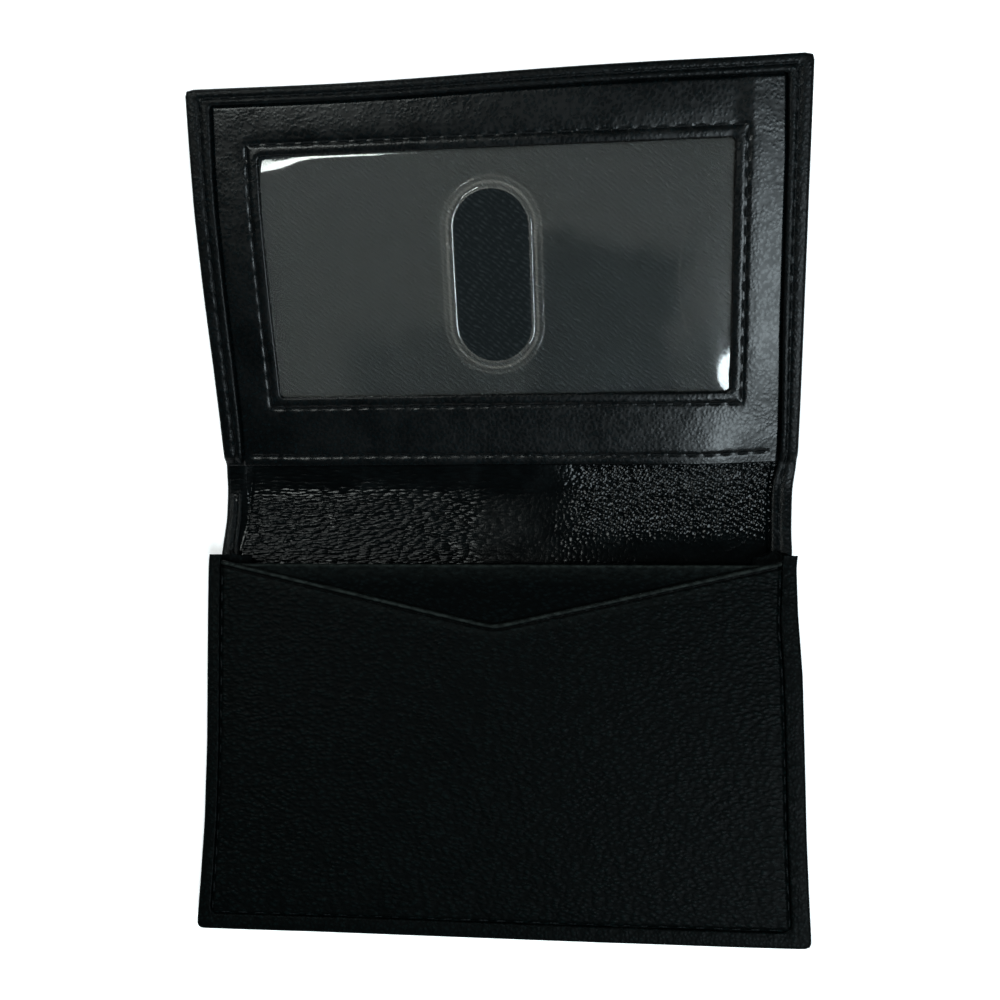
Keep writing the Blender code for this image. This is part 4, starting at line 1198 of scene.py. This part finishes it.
def film_look(name):
    """Clear film under a thin uneven veil, whiter along the weld, that lets lamps through to the twill; the
    veil is partly random and partly a painted reflection, thinned in two patches and towards the right where
    dark surroundings are mirrored.
    """
    nodes, flat = new_look(name)
    across, along, _ = nodes.parts(flat)
    drift = nodes.clouds(flat, 9) * 16.0 - 8.0
    x, s = across + drift, along + drift
    fine = nodes.clouds(flat, 0.35, 3.0)
    # Painted reflection: the veil is thinned in two patches and towards the right, standing in for the dark
    # shapes that the film mirrors there
    dark_reflection_patch = nodes.span(x, 1, 7, 0.0, 1.0) * nodes.span(x, 29, 36, 1.0, 0.0)
    dark_reflection_patch = dark_reflection_patch * nodes.span(s, 60, 53, 0.0, 1.0)
    low_dark_reflection_patch = nodes.span(s, 45, 38, 0.0, 0.6) * nodes.span(x, -31, -22, 0.0, 1.0)
    haze_and_reflection = dark_reflection_patch.at_least(low_dark_reflection_patch) * -0.85 + 1.0
    haze_and_reflection = haze_and_reflection * nodes.span(fine, 0.3, 0.7, 0.0105, 0.016) * nodes.span(across, -10, 36, 1.05, 0.85)
    haze_and_reflection = haze_and_reflection + nodes.attribute("weld", "Fac") * 0.05 + scratch(nodes, across, along) * 0.02
    glass = nodes.add("BsdfPrincipled", Roughness=nodes.span(fine, 0.3, 0.7, 0.05, 0.1))
    nodes.put(glass, "Base Color", (0.94, 0.95, 0.94))
    glass.inputs["Transmission Weight"].default_value = 1
    glass.inputs["IOR"].default_value = 1.45
    veiled = nodes.mixed(haze_and_reflection, glass, nodes.add("BsdfDiffuse", (0.72, 0.66, 0.58)))
    clear = nodes.out(nodes.add("BsdfTransparent", (0.66, 0.67, 0.66)))
    return nodes.finish(nodes.out(nodes.add("MixShader", nodes.seen_by("Shadow"), veiled, clear)))


LEATHER_TONES = (0.0005, 0.0013, 0.0015), (0.0011, 0.0024, 0.0028)
POCKET_TONES = (0.0004, 0.0012, 0.0012), (0.0009, 0.002, 0.002)
# The divider's tones are darker than the front's as painted shade, for the shadow that the front's V edge
# casts on it
DIVIDER_SHADED_TONES = (0.0003, 0.001, 0.0011), (0.0007, 0.0015, 0.0016)
# The gussets' tones are darker as painted shade, for the shade inside the pocket's pleated sides
GUSSET_SHADED_TONES = (0.0004, 0.001, 0.0012), (0.0009, 0.0018, 0.002)

outer_look = leather("grained_outer_leather", *LEATHER_TONES, 0.35, 0.07, 0.62, 0.06)
panel_look = leather("smooth_frame_leather", *LEATHER_TONES, 0.25, 0.15, 0.62, 0.028)
front_look = leather("pocket_front_leather_look", *POCKET_TONES, 0.42, 0.022, 0.6, 0.12, 1.8, math.radians(-7))
divider_shaded_look = leather("pocket_divider_shaded_look", *DIVIDER_SHADED_TONES, 0.5, 0.012, 0.6, 0.08, 1.8)
gusset_shaded_look = leather("gusset_leather_painted_shade", *GUSSET_SHADED_TONES, 0.6, 0.02, 0.6, 0.05)
rim_look = leather("pocket_rim_leather", *POCKET_TONES, 0.42, 0.022, 0.62, 0.06)
lining_look = glazed_leather("glazed_lining")


# The pieces, on their bodies or left in place at the folds


FOLDS = {"lower_fold": (LOWER_FOLD, "pocket", "spine"), "upper_fold": (UPPER_FOLD, "spine", "flap")}


def dress(obj, look, slot, body, *replaced):
    """Give a piece its look, and hang it on a body; a piece for a fold between two bodies only has its
    transform baked in, and is neither bent nor hung.
    """
    obj.data.materials.append(look)
    if replaced:
        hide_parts(*replaced)
    if body not in FOLDS:
        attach(obj, body)
        return
    fold, before, after = FOLDS[body]
    start, end = (MM * on_sheet(0.0, fold + reach, PIVOT_HEIGHT) for reach in (-BLEND_REACH, BLEND_REACH))
    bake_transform(obj)


outer, pocket_runs = turned_shell("outer_leather_pocket", -POCKET_LENGTH)
dress(outer, outer_look, "black_leather", "lower_fold", "pocket_shell", "spine_shell")
outer, flap_runs = turned_shell("outer_leather_flap", FLAP_TOP)
dress(outer, outer_look, "black_leather", "upper_fold", "flap_shell", "spine_shell")

lining = make_lining("glazed_lining_pocket", 0.85 - POCKET_LENGTH, LINING_SPLIT)
dress(lining, lining_look, "glazed_lining_leather", "lower_fold", "pocket_lining", "spine_lining")
lining = make_lining("glazed_lining_flap", LINING_SPLIT, LINING_END)
dress(lining, lining_look, "glazed_lining_leather", "upper_fold", "spine_lining", "flap_lining_end")

twill = make_twill()
dress(twill, twill_cloth("twill_weave"), "twill_lining", "flap", "id_pocket_twill_lining")

dress(make_panel(), panel_look, "black_leather", "flap", "id_window_panel")
dress(make_film(), film_look("clear_film_look"), "clear_film", "flap", "id_window_film")
dress(make_front(), front_look, "black_leather", "pocket", "pocket_front")
dress(make_divider(), divider_shaded_look, "black_leather", "pocket", "pocket_divider")
dress(make_rim(), rim_look, "black_leather", "pocket")
for word, side in (("left", -1), ("right", 1)):
    gusset = make_gusset(f"pleated_gusset_{word}", side)
    dress(gusset, gusset_shaded_look, "black_leather", "pocket", f"gusset_{word}")

window_corners = [(-SEAM_X, SEAM_LOW), (SEAM_X, SEAM_LOW), (SEAM_X, SEAM_HIGH), (-SEAM_X, SEAM_HIGH)]
window_counts = 2 * (WINDOW_STITCHES_ACROSS, WINDOW_STITCHES_UP)
window_runs = straight_runs(window_corners + window_corners[:1], window_counts)
hem_runs = straight_runs([(-HEM_END, HEM_SEAM), (HEM_END, HEM_SEAM)], [HEM_STITCHES])
spine_seams = ("spine_seam_left", "spine_seam_right")
gusset_seams = ("gusset_seam_left", "gusset_seam_right")
black_thread = thread_look("black_thread_look")
for name, runs, body, replaced in (
    ("flap_edge_stitches", flap_runs[:1], "upper_fold", ("flap_edge_seam", *spine_seams)),
    ("flap_back_stitches", flap_runs[1:], "upper_fold", ()),
    ("pocket_side_stitches", pocket_runs[:1], "lower_fold", (*gusset_seams, *spine_seams)),
    ("pocket_back_stitches", pocket_runs[1:], "lower_fold", ()),
    ("window_stitches", window_runs, "flap", ("id_window_seam",)),
    ("hem_stitches", hem_runs, "flap", ("id_hem_seam",)),
    ("pocket_edge_stitches", [pocket_seam_run()], "pocket", ("pocket_edge_seam",)),
):
    dress(stitches(name, runs), black_thread, "black_thread", body, *replaced)


# Floor, light and camera


def make_floor():
    """A pale floor that keeps the wallet's shadow and is white where it has none."""
    nodes = Nodes(bpy.data.materials.new("pale_floor"))
    fine = nodes.clouds(nodes.out(nodes.add("TexCoord"), "Object"), 1 / 900)
    tone = nodes.mix(fine, (0.9, 0.9, 0.9), (0.93, 0.93, 0.93))
    glow = nodes.seen_by("Camera", "Glossy", "Transmission") * 0.3
    nodes.cover(tone, 0.85, 0.2, Emission_Color=(1, 1, 1), Emission_Strength=glow)
    mesh = bpy.data.meshes.new("floor")
    shape = bmesh.new()
    bmesh.ops.create_grid(shape, x_segments=8, y_segments=8, size=1.2)
    shape.to_mesh(mesh)
    shape.free()
    mesh.materials.append(nodes.owner)
    floor = stand("floor", mesh)
    gap_below_wallet = 0.00002
    floor.location.z = -gap_below_wallet


def make_world():
    """A dim room, white where the camera sees it, and where glossy or clear things do near the ground."""
    world = bpy.data.worlds.new("studio")
    bpy.context.scene.world = world
    nodes = Nodes(world, "OutputWorld")
    height = nodes.parts(nodes.out(nodes.add("TexCoord"), "Generated"))[2]
    low = nodes.maths("LESS_THAN", height, 0.25)
    white_part = (nodes.seen_by("Glossy", "Transmission") * low).at_least(nodes.seen_by("Camera"))
    room = nodes.add("Background", (0.9, 0.96, 1.0), 0.06)
    white = nodes.add("Background", (1, 1, 1), 1.0)
    nodes.finish(nodes.mixed(white_part, room, white))


def make_light(name, direction, size, radiance, tint):
    """A softbox a metre away in a direction from the wallet's middle, its second side running with +Y."""
    light = bpy.data.lights.new(name, "AREA")
    light.shape = "RECTANGLE"
    light.size, light.size_y = size
    light.color = tint
    light.energy = radiance * math.pi * size[0] * size[1]
    aim = Vector(direction).normalized()
    across = Vector((0, 1, 0)).cross(aim).normalized()
    turn = Matrix((across, aim.cross(across), aim)).transposed().to_4x4()
    stand(name, light).matrix_world = Matrix.Translation(aim) @ turn


def make_camera():
    camera = bpy.data.cameras.new("camera")
    camera.sensor_width = 36
    camera.lens = 36
    camera.clip_start = 0.01
    obj = stand("camera", camera)
    obj.location = (0.01944, -0.02026, 0.18212)
    obj.rotation_euler = Euler([math.radians(angle) for angle in (7.699, 6.093, 0.638)], "XYZ")
    bpy.context.scene.camera = obj


make_floor()
make_world()
make_light("key", (0.38, -0.42, 0.82), (0.29, 0.52), 24, (0.81, 0.94, 1.0))
make_light("left", (-0.38, 0.1, 0.92), (0.34, 0.15), 25, (0.93, 1.0, 0.97))
make_light("back", (-0.35, 0.8, 0.5), (0.4, 0.4), 4, (0.95, 1.0, 1.0))
make_camera()
bpy.context.scene.view_settings.view_transform = "Standard"
